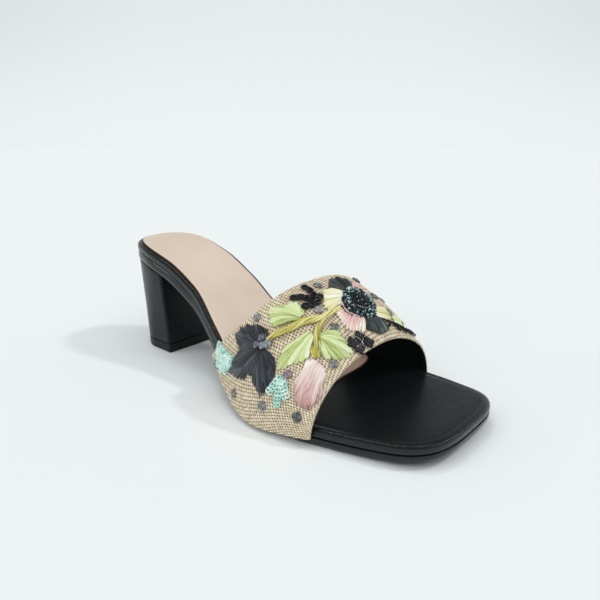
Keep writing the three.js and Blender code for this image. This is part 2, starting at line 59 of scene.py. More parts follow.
def smooth_curve(rows, scale=1.0):
    """A curve through (place, value) rows that never overshoots between two of them."""
    at, value = np.array(rows, float).T
    at = at * scale
    rise = np.diff(value) / np.diff(at)
    slope = np.concatenate([rise[:1], np.zeros(len(at) - 2), rise[-1:]])
    same = rise[:-1] * rise[1:] > 0
    both = np.where(same, rise[:-1] + rise[1:], 1)
    slope[1:-1] = np.where(same, 2 * rise[:-1] * rise[1:] / both, 0)

    def read(place):
        place = np.clip(place, at[0], at[-1])
        i = np.clip(np.searchsorted(at, place) - 1, 0, len(at) - 2)
        span = at[i + 1] - at[i]
        t = (place - at[i]) / span
        low = value[i] * (1 + 2 * t) * (1 - t) ** 2 + slope[i] * span * t * (1 - t) ** 2
        high = value[i + 1] * t * t * (3 - 2 * t) + slope[i + 1] * span * t * t * (t - 1)
        return low + high

    return read


centre_line = smooth_curve(
    [(0, 1.89), (0.075, 1.229), (0.151, -0.284), (0.293, -0.473), (0.435, -4.82), (0.514, -6.143),
     (0.598, -6.237), (0.669, -4.253), (0.733, -2.079), (0.795, -0.378), (0.858, 0.662),
     (0.912, 0.945), (1, 0.945)], LENGTH)
half_width = smooth_curve(
    [(at, seat * SEAT_WIDTH + ball * BALL_WIDTH) for at, seat, ball in [
        (0, 0.5, 0), (0.075, 0.498, 0), (0.151, 0.494, 0), (0.293, 0.481, 0),
        (0.435, 0.3, 0.141), (0.514, 0.08, 0.343), (0.598, 0, 0.463), (0.669, 0, 0.498),
        (0.733, 0, 0.5), (0.795, 0, 0.478), (0.858, 0, 0.448), (0.912, 0, 0.413),
        (1, 0, 0.354)]], LENGTH)
underside = smooth_curve(
    [(at, climb * HEEL_HEIGHT + spring * TOE_SPRING) for at, climb, spring in [
        (0, 1, 0), (0.092, 0.963, 0), (0.192, 0.864, 0), (0.291, 0.668, 0), (0.391, 0.408, 0),
        (0.491, 0.183, 0), (0.59, 0.051, 0), (0.689, 0, 0), (0.789, 0, 0), (0.889, 0, 0.24),
        (1, 0, 1)]], LENGTH)


def mix(a, b, share):
    return a + (b - a) * share


def steepness(x):
    return np.hypot(1, (underside(x + 0.01) - underside(x - 0.01)) / 0.02)


def forepart(x):
    t = np.clip((x / LENGTH - WAIST_START) / (WAIST_END - WAIST_START), 0, 1)
    return t * t * (3 - 2 * t)


def outsole_top(x):
    return underside(x) + mix(OUTSOLE_SHANK, OUTSOLE_FORE, forepart(x)) * steepness(x)


def plan_loop(front=LENGTH, toe_round=TOE_ROUND, seat_steps=30, side_steps=74, toe_steps=26):
    """The sole's outline in plan, from the back down the outer side and back up the inner."""
    turn = np.linspace(0, np.pi / 2, seat_steps, endpoint=False)
    x = [SEAT_ROUND * (1 - np.cos(turn) ** (2 / SEAT_SQUARENESS))]
    share = [np.sin(turn) ** (2 / SEAT_SQUARENESS)]
    x.append(np.linspace(SEAT_ROUND, front - toe_round, side_steps))
    share.append(np.ones(side_steps))
    turn = np.linspace(0, np.pi / 2, toe_steps + 1)[1:]
    x.append(front - toe_round * (1 - np.sin(turn) ** (2 / TOE_SQUARENESS)))
    share.append(np.clip(np.cos(turn), 0, 1) ** (2 / TOE_SQUARENESS))
    x, share = np.concatenate(x), np.concatenate(share)
    share[-1] = 0
    reach = share * half_width(x)
    outer = np.stack([x, centre_line(x) - reach], -1)
    inner = np.stack([x, centre_line(x) + reach], -1)
    return np.concatenate([outer, inner[-2:0:-1]])


def inset_loop(loop, distance):
    step = np.roll(loop, -1, 0) - np.roll(loop, 1, 0)
    step /= np.linalg.norm(step, axis=1)[:, None]
    inward = np.broadcast_to(distance, len(loop))[:, None]
    return loop + np.stack([-step[:, 1], step[:, 0]], -1) * inward


def toward_middle(ring, shares, height):
    """Rings that draw a plan loop in across the shoe to its middle line, each on a height."""
    mirror = (-np.arange(len(ring))) % len(ring)
    middle = (ring[:, 1] + ring[mirror, 1]) / 2
    for share in shares:
        y = mix(ring[:, 1], middle, share)
        yield np.stack([ring[:, 0], y, height(ring[:, 0], share)], -1)


def make_piece(name, points, faces, finish, slot, stands_for=()):
    """A mesh in the shared frame from points in millimetres, riding on the shoe's one body."""
    mesh = bpy.data.meshes.new(name)
    metres = (np.asarray(points, float) - (ORIGIN_AT, 0, 0)) / 1000
    mesh.from_pydata(metres.tolist(), [], faces.tolist() if isinstance(faces, np.ndarray) else faces)
    mesh.polygons.foreach_set("use_smooth", [True] * len(mesh.polygons))
    piece = bpy.data.objects.new(name, mesh)
    bpy.context.scene.collection.objects.link(piece)
    mesh.materials.append(finish)
    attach(piece, "root")
    if stands_for:
        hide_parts(*stands_for)
    return piece


def ring_stack(rings):
    """Points and faces of a closed skin from equal rings; the first and last fold shut."""
    rings = [np.asarray(ring, float) for ring in rings]
    count = len(rings[0])
    i = np.arange(count)
    j = (i + 1) % count
    faces = []
    for r in range(len(rings) - 1):
        a, b = r * count, (r + 1) * count
        faces.append(np.stack([b + i, b + j, a + j, a + i], -1))
    return np.concatenate(rings), np.concatenate(faces)


def weld(piece, distance=2e-6):
    """Joins points that meet, so that folded-shut rings make one closed skin."""
    body = bmesh.new()
    body.from_mesh(piece.data)
    bmesh.ops.remove_doubles(body, verts=body.verts, dist=distance)
    bmesh.ops.dissolve_degenerate(body, dist=1e-7, edges=body.edges)
    bmesh.ops.recalc_face_normals(body, faces=body.faces)
    body.to_mesh(piece.data)
    body.free()
    piece.data.polygons.foreach_set("use_smooth", [True] * len(piece.data.polygons))
    return piece


def new_finish(name, color, roughness, **even):
    """A material whose even values are set on the shader's own sockets."""
    finish = bpy.data.materials.new(name)
    finish.use_nodes = True
    shader = finish.node_tree.nodes["Principled BSDF"]
    shader.inputs["Base Color"].default_value = (*color, 1)
    shader.inputs["Roughness"].default_value = roughness
    for socket, value in even.items():
        shader.inputs[socket.replace("_", " ")].default_value = value
    return finish


def node(finish, kind, output=0, **values):
    """Adds a node, sets or joins its sockets and settings, and gives one of its outputs."""
    tree = finish.node_tree
    made = tree.nodes.new("ShaderNode" + kind)
    for key, value in values.items():
        numbered = key[0] == "i" and key[1:].isdigit()
        socket = made.inputs[int(key[1:])] if numbered else made.inputs.get(key.replace("_", " "))
        if socket is None:
            setattr(made, key, value)
        elif isinstance(value, bpy.types.NodeSocket):
            tree.links.new(value, socket)
        else:
            socket.default_value = value
    return made.outputs[output]


def math(finish, operation, *terms, clamp=False):
    values = {f"i{k}": term for k, term in enumerate(terms)}
    return node(finish, "Math", operation=operation, use_clamp=clamp, **values)


def drive(finish, **sockets):
    """Joins outputs to the shader's sockets."""
    shader = finish.node_tree.nodes["Principled BSDF"]
    for socket, value in sockets.items():
        finish.node_tree.links.new(value, shader.inputs[socket.replace("_", " ")])


def shade_between(finish, share, low, high):
    """A colour ramp between two colours."""
    ramp = finish.node_tree.nodes.new("ShaderNodeValToRGB")
    ramp.color_ramp.elements[0].color = (*low, 1)
    ramp.color_ramp.elements[1].color = (*high, 1)
    finish.node_tree.links.new(share, ramp.inputs[0])
    return ramp.outputs[0]


def noise(finish, scale, detail=3, roughness=0.55, where=None):
    where = where or node(finish, "TexCoord", 3)
    return node(finish, "TexNoise", Vector=where, Scale=scale, Detail=detail, Roughness=roughness)


def range_of(finish, value, low, high, new_low, new_high):
    return node(finish, "MapRange", Value=value, From_Min=low, From_Max=high, To_Min=new_low,
                To_Max=new_high)


def sole_rubber(name, color, roughness, polish=0.0):
    """Moulded rubber with a fine skin, cloudy where it was handled, and polished or matt."""
    finish = new_finish(
        name, color, roughness, Specular_IOR_Level=0.24, Coat_Weight=polish, Coat_Roughness=0.14)
    cloud = noise(finish, 60, 4)
    fine = noise(finish, 2600, 2)
    drive(
        finish,
        Base_Color=shade_between(finish, cloud, [c * 0.75 for c in color], [c * 1.5 for c in color]),
        Roughness=range_of(finish, cloud, 0.3, 0.7, roughness - 0.07, roughness + 0.1),
        Normal=node(finish, "Bump", Strength=0.25, Distance=0.00006, Height=fine),
    )
    return finish


outsole_finish = sole_rubber("polished_sole_rubber", (0.005, 0.0066, 0.007), 0.25, polish=0.3)
sole_loop = plan_loop()


def sole_ring(inset, height):
    ring = inset_loop(sole_loop, inset(sole_loop[:, 0]) if callable(inset) else inset)
    return np.column_stack([ring, height(ring[:, 0])])


def rim_low(x):
    return mix(underside(x) + WAIST_BEVEL, outsole_top(x) - OUTSOLE_RIM, forepart(x))


def bevel(x):
    return mix(WAIST_BEVEL, OUTSOLE_BEVEL, forepart(x))


def shoulder(x, depth):
    """How far the rounded shoulder of the shank and seat is drawn in."""
    return depth * (1 - forepart(x))


inner_shares = [0.12, 0.3, 0.5, 0.7, 0.88, 1]
outsole_rings = [
    sole_ring(1.2, outsole_top),
    sole_ring(lambda x: 0.3 + shoulder(x, 0.32), outsole_top),
    sole_ring(lambda x: 0.1 + shoulder(x, 0.4), lambda x: outsole_top(x) - 0.12),
    sole_ring(lambda x: shoulder(x, 0.36), lambda x: outsole_top(x) - 0.4),
    sole_ring(lambda x: shoulder(x, 0.13), lambda x: mix(outsole_top(x), rim_low(x), 0.3)),
    sole_ring(0, lambda x: mix(outsole_top(x), rim_low(x), 0.6)),
    sole_ring(0.06, rim_low),
    sole_ring(lambda x: 0.3 * bevel(x) + 0.1, lambda x: mix(rim_low(x), underside(x), 0.35)),
    sole_ring(lambda x: 0.72 * bevel(x), lambda x: mix(rim_low(x), underside(x), 0.8)),
    sole_ring(bevel, lambda x: mix(rim_low(x), underside(x), 0.97)),
    sole_ring(lambda x: bevel(x) + 0.5, underside),
]
top_fold = list(toward_middle(outsole_rings[0], inner_shares, lambda x, share: outsole_top(x)))
tread_fold = list(toward_middle(outsole_rings[-1], inner_shares, lambda x, share: underside(x)))
weld(make_piece(
    "outsole_unit", *ring_stack(top_fold[::-1] + outsole_rings + tread_fold), outsole_finish,
    "sole_rubber", ["outsole"]))

# FOOTBED. A cushioned board wrapped in smooth black leather, 4.6 mm thick with a soft round
# lip. The leather is drawn under and glued, which leaves fine puckers round the toe.
FOOTBED = 4.6
FOOTBED_ROUND = 2.4
LIP_TROUGH = 0.3
PAST_THE_LIP, UNDER_THE_LIP = 30, 3  # the inset that stands for the flat top and the flat bottom


def footbed_under(x):
    return outsole_top(x) + FIT_GAP * steepness(x)


def footbed_top(x):
    return footbed_under(x) + FOOTBED * steepness(x)


def smooth_leather(name, color, roughness, grain=0.1, lighter=1.6, pucker=0.0, dressing=0.0, gloss=0.14):
    """Smooth leather: pores, a faint pebble, soft clouding and a thin dressing over it."""
    finish = new_finish(
        name, color, roughness, Specular_IOR_Level=gloss, Coat_Weight=dressing, Coat_Roughness=0.15)
    where = node(finish, "TexCoord", 3)
    cloud = noise(finish, 22, 4, where=where)
    pebble = node(finish, "TexVoronoi", Vector=where, Scale=2600, Randomness=1.0)
    pores = noise(finish, 4200, 2, where=where)
    crease = noise(finish, 300, 5, 0.6, where=where)
    height = math(finish, "ADD", math(finish, "MULTIPLY", pebble, 0.25),
                  math(finish, "MULTIPLY", pores, 0.3))
    height = math(finish, "ADD", height, math(finish, "MULTIPLY", crease, 0.8))
    bumped = node(finish, "Bump", Strength=grain, Distance=0.00018, Height=height)
    if pucker:
        edge = node(finish, "Attribute", 1, attribute_name="round_the_edge")
        across = node(finish, "SeparateXYZ", 1, Vector=edge)
        stretched = node(finish, "Mapping", Vector=edge, Scale=(1.0, 0.3, 1.0))
        folds = noise(finish, 1.1, 3, 0.65, where=stretched)
        near = range_of(finish, across, 0.8, 4.0, 1.0, 0.0)
        held = math(finish, "MULTIPLY", folds, near)
        bumped = node(finish, "Bump", Strength=pucker, Distance=0.0009, Height=held, Normal=bumped)
        rubbed = range_of(finish, across, 1.0, 5.0, 0.6, dressing)
        drive(finish, Coat_Normal=bumped, Coat_Weight=rubbed)
    drive(
        finish,
        Base_Color=shade_between(finish, cloud, [c * 0.8 for c in color], [c * lighter for c in color]),
        Roughness=range_of(finish, crease, 0.3, 0.7, roughness - 0.06, roughness + 0.09),
        Normal=bumped,
    )
    return finish


footbed_leather = smooth_leather("black_footbed_leather", (0.005, 0.0067, 0.0071), 0.34, 0.1, 1.5,
                                 pucker=0.4, dressing=0.12, gloss=0.09)


def trough(x, depth):
    """The soft groove inside the lip, along both sides of the forepart but not round the toe."""
    return LIP_TROUGH * depth * np.clip((x - 120) / 45, 0, 1) * np.clip((LENGTH - 12 - x) / 28, 0, 1)


lip_rows = [  # inset and drop of the rolled lip, as shares of its radius and of the thickness
    (2.5, 0), (2.05, 0.003), (1.65, 0.01), (1.3, 0.024), (1, 0.045), (0.72, 0.082), (0.46, 0.14),
    (0.26, 0.21), (0.12, 0.3), (0.03, 0.41), (0, 0.54), (0, 0.76), (0.05, 0.88), (0.13, 0.96), (0.3, 1),
]
footbed_rings = []
for row, (inset, drop) in enumerate(lip_rows):
    sunk = {0: 0.3, 1: 0.7, 2: 0.9, 3: 0.5}.get(row, 0)
    footbed_rings.append(sole_ring(
        inset * FOOTBED_ROUND,
        lambda x, drop=drop, sunk=sunk: mix(footbed_top(x), footbed_under(x), drop) - trough(x, sunk)))
bed_shares = [0.04, 0.1, 0.2, 0.32, 0.45, 0.6, 0.75, 0.9, 1]
bed_fold = list(toward_middle(
    footbed_rings[0], bed_shares,
    lambda x, share: footbed_top(x) - trough(x, 0.3 * (1 - min(share / 0.3, 1)))))
under_fold = list(toward_middle(footbed_rings[-1], inner_shares, lambda x, share: footbed_under(x)))
bed_stack = bed_fold[::-1] + footbed_rings + under_fold
round_length = np.concatenate([[0], np.cumsum(np.linalg.norm(np.diff(sole_loop, axis=0), axis=1))])
bed_points, bed_faces = ring_stack(bed_stack)
footbed = make_piece("footbed_wrap", bed_points, bed_faces, footbed_leather, "black_leather", ["footbed"])
edge_place = footbed.data.attributes.new("round_the_edge", "FLOAT_VECTOR", "POINT")
lip_insets = [inset * FOOTBED_ROUND for inset, _ in lip_rows]
insets = [PAST_THE_LIP] * len(bed_fold) + lip_insets + [UNDER_THE_LIP] * len(under_fold)
edge_rows = np.concatenate([
    np.column_stack([round_length, np.full(len(round_length), inset), np.zeros(len(round_length))])
    for inset in insets])
edge_place.data.foreach_set("vector", edge_rows.ravel())
weld(footbed)

# SOCK LINING. A 1 mm sheet of nude leather glued on the footbed from the back of the heel to
# under the strap, skived thin and painted brown at its edge. Its front under the strap has painted
# shade that turns it browner.
SOCK = 1
SOCK_INSET_SEAT, SOCK_INSET_FRONT = 3, 1
SOCK_LENGTH = 165
SOCK_ROUND = 20
STRAP_SHADE_FROM, STRAP_SHADE_TO = 0.085, 0.135  # metres ahead of the heel's middle
STRAP_SHADE_TINT = (0.987, 0.845, 0.772)
sock_leather = smooth_leather("nude_sock_leather", (0.75, 0.615, 0.505), 0.52, 0.08, 1.07)
edge_paint = smooth_leather("brown_edge_paint", (0.06, 0.038, 0.028), 0.5, 0.1, 1.5)
sock_plan = plan_loop(SOCK_LENGTH, SOCK_ROUND, side_steps=60)
shown_lip = np.clip(sock_plan[:, 0] / 50, 0, 1) * (sock_plan[:, 1] > centre_line(sock_plan[:, 0]))
sock_loop = inset_loop(
    sock_plan, mix(SOCK_INSET_SEAT, SOCK_INSET_FRONT, sock_plan[:, 0] / SOCK_LENGTH) + 1.2 * shown_lip)


def sock_ring(inset, lift):
    ring = inset_loop(sock_loop, inset)
    x = ring[:, 0]
    return np.column_stack([ring, footbed_top(x) + (FIT_GAP + lift * SOCK) * steepness(x)])


sock_rings = [sock_ring(*row) for row in (
    (3, 0.8), (2, 0.76), (1.3, 0.68), (0.7, 0.52), (0.3, 0.36), (0.12, 0.2), (0, 0), (0.05, -0.15),
    (0.4, -0.2))]
sock_top = list(toward_middle(sock_rings[0], bed_shares, lambda x, share: footbed_top(x) + (
    FIT_GAP + 0.8 * SOCK) * steepness(x)))
sock_under = list(toward_middle(
    sock_rings[-1], inner_shares, lambda x, share: footbed_top(x) + 0.1 * steepness(x)))
sock = make_piece(
    "sock_sheet", *ring_stack(sock_top[::-1] + sock_rings + sock_under), sock_leather, "nude_leather",
    ["sock_lining"])
sock.data.materials.append(edge_paint)
painted_from, painted_to = len(sock_top) + 3, len(sock_top) + len(sock_rings)
rows_of_faces = np.arange(len(sock.data.polygons)) // len(sock_loop)
painted = (rows_of_faces >= painted_from) & (rows_of_faces < painted_to)
sock.data.polygons.foreach_set("material_index", painted.astype(int))
weld(sock)
# Painted shade: towards the front the base colour is multiplied into a browner tint, for the warm shade
# under the strap.
sock_along = node(sock_leather, "SeparateXYZ", 0, Vector=node(sock_leather, "TexCoord", 3))
sock_tone = sock_leather.node_tree.nodes["Principled BSDF"].inputs["Base Color"].links[0].from_socket
painted_strap_shade = range_of(sock_leather, sock_along, STRAP_SHADE_FROM, STRAP_SHADE_TO, 0.0, 1.0)
painted_shade_tint = shade_between(sock_leather, painted_strap_shade, (1, 1, 1), STRAP_SHADE_TINT)
drive(sock_leather, Base_Color=node(
    sock_leather, "MixRGB", blend_type="MULTIPLY", Fac=1.0, Color1=sock_tone, Color2=painted_shade_tint))

# HEEL BLOCK. A hard moulded block, D shaped in section and a little narrower at the floor,
# covered in the same black leather drawn tight, with a sharp corner down each side.
HEEL_TOP_LENGTH, HEEL_TOP_INSET = 42.4, 0.6
BREAST_AT, BREAST_CORNER = 43, 1.6
TREAD_LENGTH, TREAD_WIDTH, TREAD_ROUND = 37, 45.6, 20
LIFT, LIFT_CHAMFER = 6, 0.6
heel_leather = smooth_leather("black_heel_leather", (0.0058, 0.008, 0.0086), 0.3, 0.0, 1.3, gloss=0.2)


def heel_loop(up, inset=0.0):
    rear = mix(BREAST_AT - TREAD_LENGTH, BREAST_AT - HEEL_TOP_LENGTH, up)
    half = mix(TREAD_WIDTH / 2, SEAT_WIDTH / 2 - HEEL_TOP_INSET, up)
    depth = mix(TREAD_ROUND, SEAT_ROUND - HEEL_TOP_INSET, up)
    squareness = mix(2, SEAT_SQUARENESS, up)
    turn = np.linspace(0, np.pi / 2, 26)
    x = rear + depth * (1 - np.cos(turn) ** (2 / squareness))
    y = half * np.sin(turn) ** (2 / squareness)
    side = np.linspace(rear + depth, BREAST_AT - BREAST_CORNER, 9)[1:]
    turn = np.linspace(0, np.pi / 2, 8)[1:]
    x = np.concatenate([x, side, BREAST_AT - BREAST_CORNER * (1 - np.sin(turn))])
    y = np.concatenate([y, np.full(8, half), half - BREAST_CORNER * (1 - np.cos(turn))])
    middle = centre_line(x) * up
    outer, inner = np.stack([x, middle - y], -1), np.stack([x, middle + y], -1)
    return inset_loop(np.concatenate([outer, inner[:0:-1]]), inset)


def heel_ring(up, inset=0.0, shift=0.0):
    loop = heel_loop(up)
    height = mix(LIFT + FIT_GAP, underside(loop[:, 0]) - FIT_GAP, up) + shift
    return np.column_stack([heel_loop(up, inset), height])


heel_rings = [heel_ring(1, 0.9), heel_ring(1, 0.35, -0.04), heel_ring(1, 0.1, -0.25)]
heel_rings += [heel_ring(up) for up in np.linspace(0.985, 0.012, 16)]
heel_rings += [heel_ring(0, 0.08, 0.22), heel_ring(0, 0.35, 0.03), heel_ring(0, 0.9)]
heel_top = list(toward_middle(heel_rings[0], inner_shares, lambda x, share: underside(x) - FIT_GAP))
heel_foot = list(toward_middle(
    heel_rings[-1], inner_shares, lambda x, share: np.full(len(x), LIFT + FIT_GAP)))
weld(make_piece(
    "heel_cover", *ring_stack(heel_top[::-1] + heel_rings + heel_foot), heel_leather, "black_leather",
    ["heel_block"]))

# TOP LIFT. The wearing piece at the floor, 6 mm of hard black rubber pinned and glued to the
# block. A hairline seam shows round it, and its bottom is buffed matt.
lift_finish = sole_rubber("hard_lift_rubber", (0.005, 0.0062, 0.0066), 0.36)


def lift_ring(inset, height):
    loop = heel_loop(0, inset)
    return np.column_stack([loop, np.full(len(loop), height)])


lift_rings = [lift_ring(*row) for row in (
    (0.9, LIFT), (0.35, LIFT - 0.03), (0.08, LIFT - 0.22), (0, LIFT - 0.6), (0, 1.2), (0.05, 0.75),
    (0.25, 0.3), (LIFT_CHAMFER, 0.03), (1.3, 0))]
lift_top = list(toward_middle(lift_rings[0], inner_shares, lambda x, share: np.full(len(x), LIFT)))
lift_foot = list(toward_middle(lift_rings[-1], inner_shares, lambda x, share: np.zeros(len(x))))
weld(make_piece(
    "lift_tread", *ring_stack(lift_top[::-1] + lift_rings + lift_foot), lift_finish, "sole_rubber",
    ["top_lift"]))

# STRAP. One broad band of straw canvas: cream paper raffia ribbons in a plain weave over a 2.3 mm
# stiffened backing. Its gaps and the falling edges of its ribbons are painted dark brown, partly the
# brown between the ribbons and partly painted shade. Both edges are turned in, and from the middle
# of the turn inwards they are black leather, as the lining is.
INSTEP_RISE, MOUTH_RISE = 51.3, 22.8
STRAP_LEAN_REAR, STRAP_LEAN_MOUTH = 0.21, 0.26
SIDE_FULLNESS, CROWN_FULLNESS = 0.733, 1.01
UPPER_WALL, STRAP_GAP = 2.3, 0.7
crown_rise = smooth_curve(
    [(at, instep * INSTEP_RISE + mouth * MOUTH_RISE) for at, instep, mouth in [
        (0.419, 1.2, 0), (0.523, 1, 0), (0.628, 1, 0), (0.711, 0.47, 0.77), (0.795, 0, 1),
        (0.849, -0.12, 1)]], LENGTH)
foot_cover = smooth_curve([(0.395, 1), (0.592, 1), (0.691, 0.72), (0.78, 0.48)], LENGTH)
rear_edge = smooth_curve([(around, at * LENGTH) for around, at in [
    (0, 0.427), (30, 0.501), (60, 0.566), (90, 0.607), (118, 0.63), (135, 0.626), (160, 0.583),
    (180, 0.513)]])
mouth_edge = smooth_curve([(around, at * LENGTH) for around, at in [
    (0, 0.776), (45, 0.776), (90, 0.778), (135, 0.795), (180, 0.799)]])


def last_point(x, around):
    """The strap's outer face before any lift: x along the shoe, around in degrees over it."""
    reach = UPPER_WALL + STRAP_GAP

    def side(way):
        turn = (centre_line(x + 0.01) - centre_line(x - 0.01)) / 0.02
        turn = turn + way * (half_width(x + 0.01) - half_width(x - 0.01)) / 0.02
        return centre_line(x) + way * half_width(x) + way * reach * np.hypot(1, turn)

    outer, inner = side(-1), side(1)
    angle = np.radians(around)
    across, over = -np.cos(angle), np.clip(np.sin(angle), 0, 1)
    share = np.sign(across) * np.abs(across) ** SIDE_FULLNESS
    y = (outer + inner) / 2 + (inner - outer) / 2 * share
    foot = mix(footbed_top(x), underside(x) + FIT_GAP, foot_cover(x))
    mouth = (x - rear_edge(0.0)) / (mouth_edge(0.0) - rear_edge(0.0))
    lean = 1 + mix(STRAP_LEAN_REAR, STRAP_LEAN_MOUTH, mouth) * across
    height = footbed_top(x) + crown_rise(x) - foot
    return np.stack(np.broadcast_arrays(x, y, foot + height * over ** CROWN_FULLNESS * lean), -1)


def strap_normal(x, around):
    inside = np.clip(around, 0.6, 179.4)
    ahead = last_point(x + 0.05, inside) - last_point(x - 0.05, inside)
    over = last_point(x, inside + 0.1) - last_point(x, inside - 0.1)
    normal = np.cross(ahead, over)
    return normal / np.linalg.norm(normal, axis=-1)[..., None]


def on_strap(x, around, lift=0.0):
    """Points at a lift off the strap's outer face, in millimetres."""
    x, around, lift = np.broadcast_arrays(np.asarray(x, float), np.asarray(around, float), lift)
    around = np.clip(around, 0, 180)
    return last_point(x, around) + strap_normal(x, around) * lift[..., None]


COLUMN_PITCH, ROW_PITCH = 1.5, 1.72  # straw ribbons, centre to centre, along and over the foot
RIBBON_HALF = 0.37  # half a ribbon's width, as a share of the pitch
WAVE = 0.2  # how far a ribbon rises and dips
ROUND = 0.26  # how far its edges fall away
CLOTH_BEND = 225  # the radius in which the flat cloth curves round the forepart
STRAP_MIDDLE = 150


def on_cloth(along, over):
    """Where a place on the strap lies in the flat cloth, in millimetres along and over."""
    radius = CLOTH_BEND + along - STRAP_MIDDLE
    turn = (over - run_over[-1] / 2) / CLOTH_BEND
    return radius * np.cos(turn) - CLOTH_BEND, radius * np.sin(turn)


def weave_height(along, over):
    """Height of the plain weave at a place in the cloth, about 0 at the crests."""
    p, q = along / COLUMN_PITCH, over / ROW_PITCH

    def ribbon(near, far, flip):
        off = (near - np.floor(near) - 0.5) / RIBBON_HALF
        crest = flip * np.cos(np.pi * np.floor(near)) * np.sin(np.pi * far) * WAVE
        drop = ROUND * (1 - np.sqrt(np.clip(1 - off * off, 0, 1)))
        return np.where(np.abs(off) < 1, crest - drop, -WAVE - ROUND)

    return np.maximum(ribbon(p, q, 1), ribbon(q, p, -1)) - WAVE * 0.5


def straw_canvas(name):
    """The same weave as a finish: every ribbon has its own tone, and the gaps and falling ribbon edges are
    painted dark brown, partly brown gap and partly painted shade.
    """
    finish = new_finish(name, (0.62, 0.5, 0.33), 0.62, Specular_IOR_Level=0.35, Sheen_Weight=0.1)
    place = node(finish, "UVMap", uv_map="weave")
    node(finish, "SeparateXYZ", Vector=place)
    a, b = finish.node_tree.nodes[-1].outputs[:2]
    wobble = math(finish, "MULTIPLY", math(finish, "SUBTRACT", noise(finish, 0.35, 2, where=place), 0.5),
                  0.5)
    p = math(finish, "ADD", math(finish, "DIVIDE", a, COLUMN_PITCH), wobble)
    q = math(finish, "ADD", math(finish, "DIVIDE", b, ROW_PITCH), wobble)

    def ribbon(near, far, flip, seed):
        off = math(finish, "DIVIDE", math(finish, "SUBTRACT", math(finish, "FRACT", near), 0.5),
                   RIBBON_HALF)
        number = math(finish, "FLOOR", near)
        crest = math(finish, "MULTIPLY", math(finish, "COSINE", math(finish, "MULTIPLY", number, np.pi)),
                     math(finish, "SINE", math(finish, "MULTIPLY", far, np.pi)))
        crest = math(finish, "MULTIPLY", crest, flip * WAVE)
        inside = math(finish, "SUBTRACT", 1.0, math(finish, "MULTIPLY", off, off), clamp=True)
        drop = math(finish, "MULTIPLY", math(finish, "SUBTRACT", 1.0, math(finish, "SQRT", inside)), ROUND)
        covered = math(finish, "GREATER_THAN", inside, 0.001)
        solid = math(finish, "ADD", math(finish, "SUBTRACT", crest, drop), WAVE + ROUND)
        height = math(finish, "MULTIPLY", solid, covered)
        step = node(finish, "CombineXYZ", X=math(finish, "ADD", number, seed),
                    Y=math(finish, "FLOOR", math(finish, "MULTIPLY", far, 0.5)))
        tone = node(finish, "TexWhiteNoise", 0, Vector=step)
        fibre = node(finish, "CombineXYZ", X=math(finish, "MULTIPLY", near, 9.0),
                     Y=math(finish, "MULTIPLY", far, 0.9), Z=seed)
        grain = noise(finish, 1.0, 2, where=fibre)
        return height, tone, grain

    warp, warp_tone, warp_grain = ribbon(p, q, 1.0, 3.0)
    weft, weft_tone, weft_grain = ribbon(q, p, -1.0, 71.0)
    height = math(finish, "MAXIMUM", warp, weft)
    warp_on_top = math(finish, "GREATER_THAN", warp, weft)
    tone = node(finish, "Mix", Factor=warp_on_top, A=weft_tone, B=warp_tone)
    grain = node(finish, "Mix", Factor=warp_on_top, A=weft_grain, B=warp_grain)
    tint = math(finish, "ADD", math(finish, "MULTIPLY", tone, 0.5), math(finish, "MULTIPLY", grain, 0.5))
    straw = shade_between(finish, tint, (0.46, 0.34, 0.2), (0.95, 0.85, 0.65))
    # Painted shade: the lower the weave lies, the nearer its colour goes to dark brown, so the gaps and the
    # falling ribbon edges are shaded in the colour as well as showing the brown between the ribbons.
    depth = range_of(finish, height, 0.16, 0.52, 0.0, 1.0)
    color = node(finish, "Mix", 2, data_type="RGBA", i0=depth, i6=(0.05, 0.027, 0.017, 1), i7=straw)
    relief = math(finish, "ADD", height, math(finish, "MULTIPLY", grain, 0.06))
    bumped = node(finish, "Bump", Strength=0.9, Distance=0.0006, Height=relief)
    drive(finish, Base_Color=color, Normal=bumped)
    return finish


fine_around = np.linspace(0, 180, 721)
mid_line = np.linalg.norm(np.diff(last_point(np.full(721, 150.0), fine_around), axis=0), axis=1)
run_over = np.concatenate([[0], np.cumsum(mid_line)])
ROWS, COLUMNS = 480, 168
over_mm = np.linspace(0, run_over[-1], ROWS)
row_around = np.interp(over_mm, run_over, fine_around)[:, None]
edge_radius = UPPER_WALL / 2
fold = np.linspace(0, np.pi, 9)[1:-1]
rear, mouth = rear_edge(row_around), mouth_edge(row_around)
face_share = np.linspace(0, 1, COLUMNS)[None, :]
face_x = mix(rear + edge_radius, mouth - edge_radius, face_share)
edge_fade = np.minimum(1, 8 * np.minimum(face_share, 1 - face_share) + 0.2)
face_lift = weave_height(*on_cloth(face_x, over_mm[:, None])) * edge_fade
front_x = mouth - edge_radius + edge_radius * np.sin(fold)
back_x = rear + edge_radius - edge_radius * np.sin(fold[::-1])
fold_lift = np.broadcast_to(edge_radius * (np.cos(fold) - 1), (ROWS, len(fold)))
inner_x = mix(mouth - edge_radius, rear + edge_radius, np.linspace(0, 1, 6)[None, :])
strap_x = np.concatenate([face_x, front_x, inner_x, back_x], 1)
strap_lift = np.concatenate([face_lift, fold_lift, np.full((ROWS, 6), -UPPER_WALL), fold_lift[:, ::-1]], 1)
strap_points = on_strap(strap_x, row_around, strap_lift)
count = strap_x.shape[1]
cell = np.arange((ROWS - 1) * count).reshape(ROWS - 1, count)
beside = np.roll(cell, -1, 1)
strap_faces = np.stack([cell, beside, beside + count, cell + count], -1).reshape(-1, 4).tolist()
strap_faces += [list(range(count))[::-1], [(ROWS - 1) * count + i for i in range(count)]]
canvas_finish = straw_canvas("straw_canvas")
lining_leather = smooth_leather("black_lining_leather", (0.004, 0.005, 0.0054), 0.55, 0.1, 1.4)
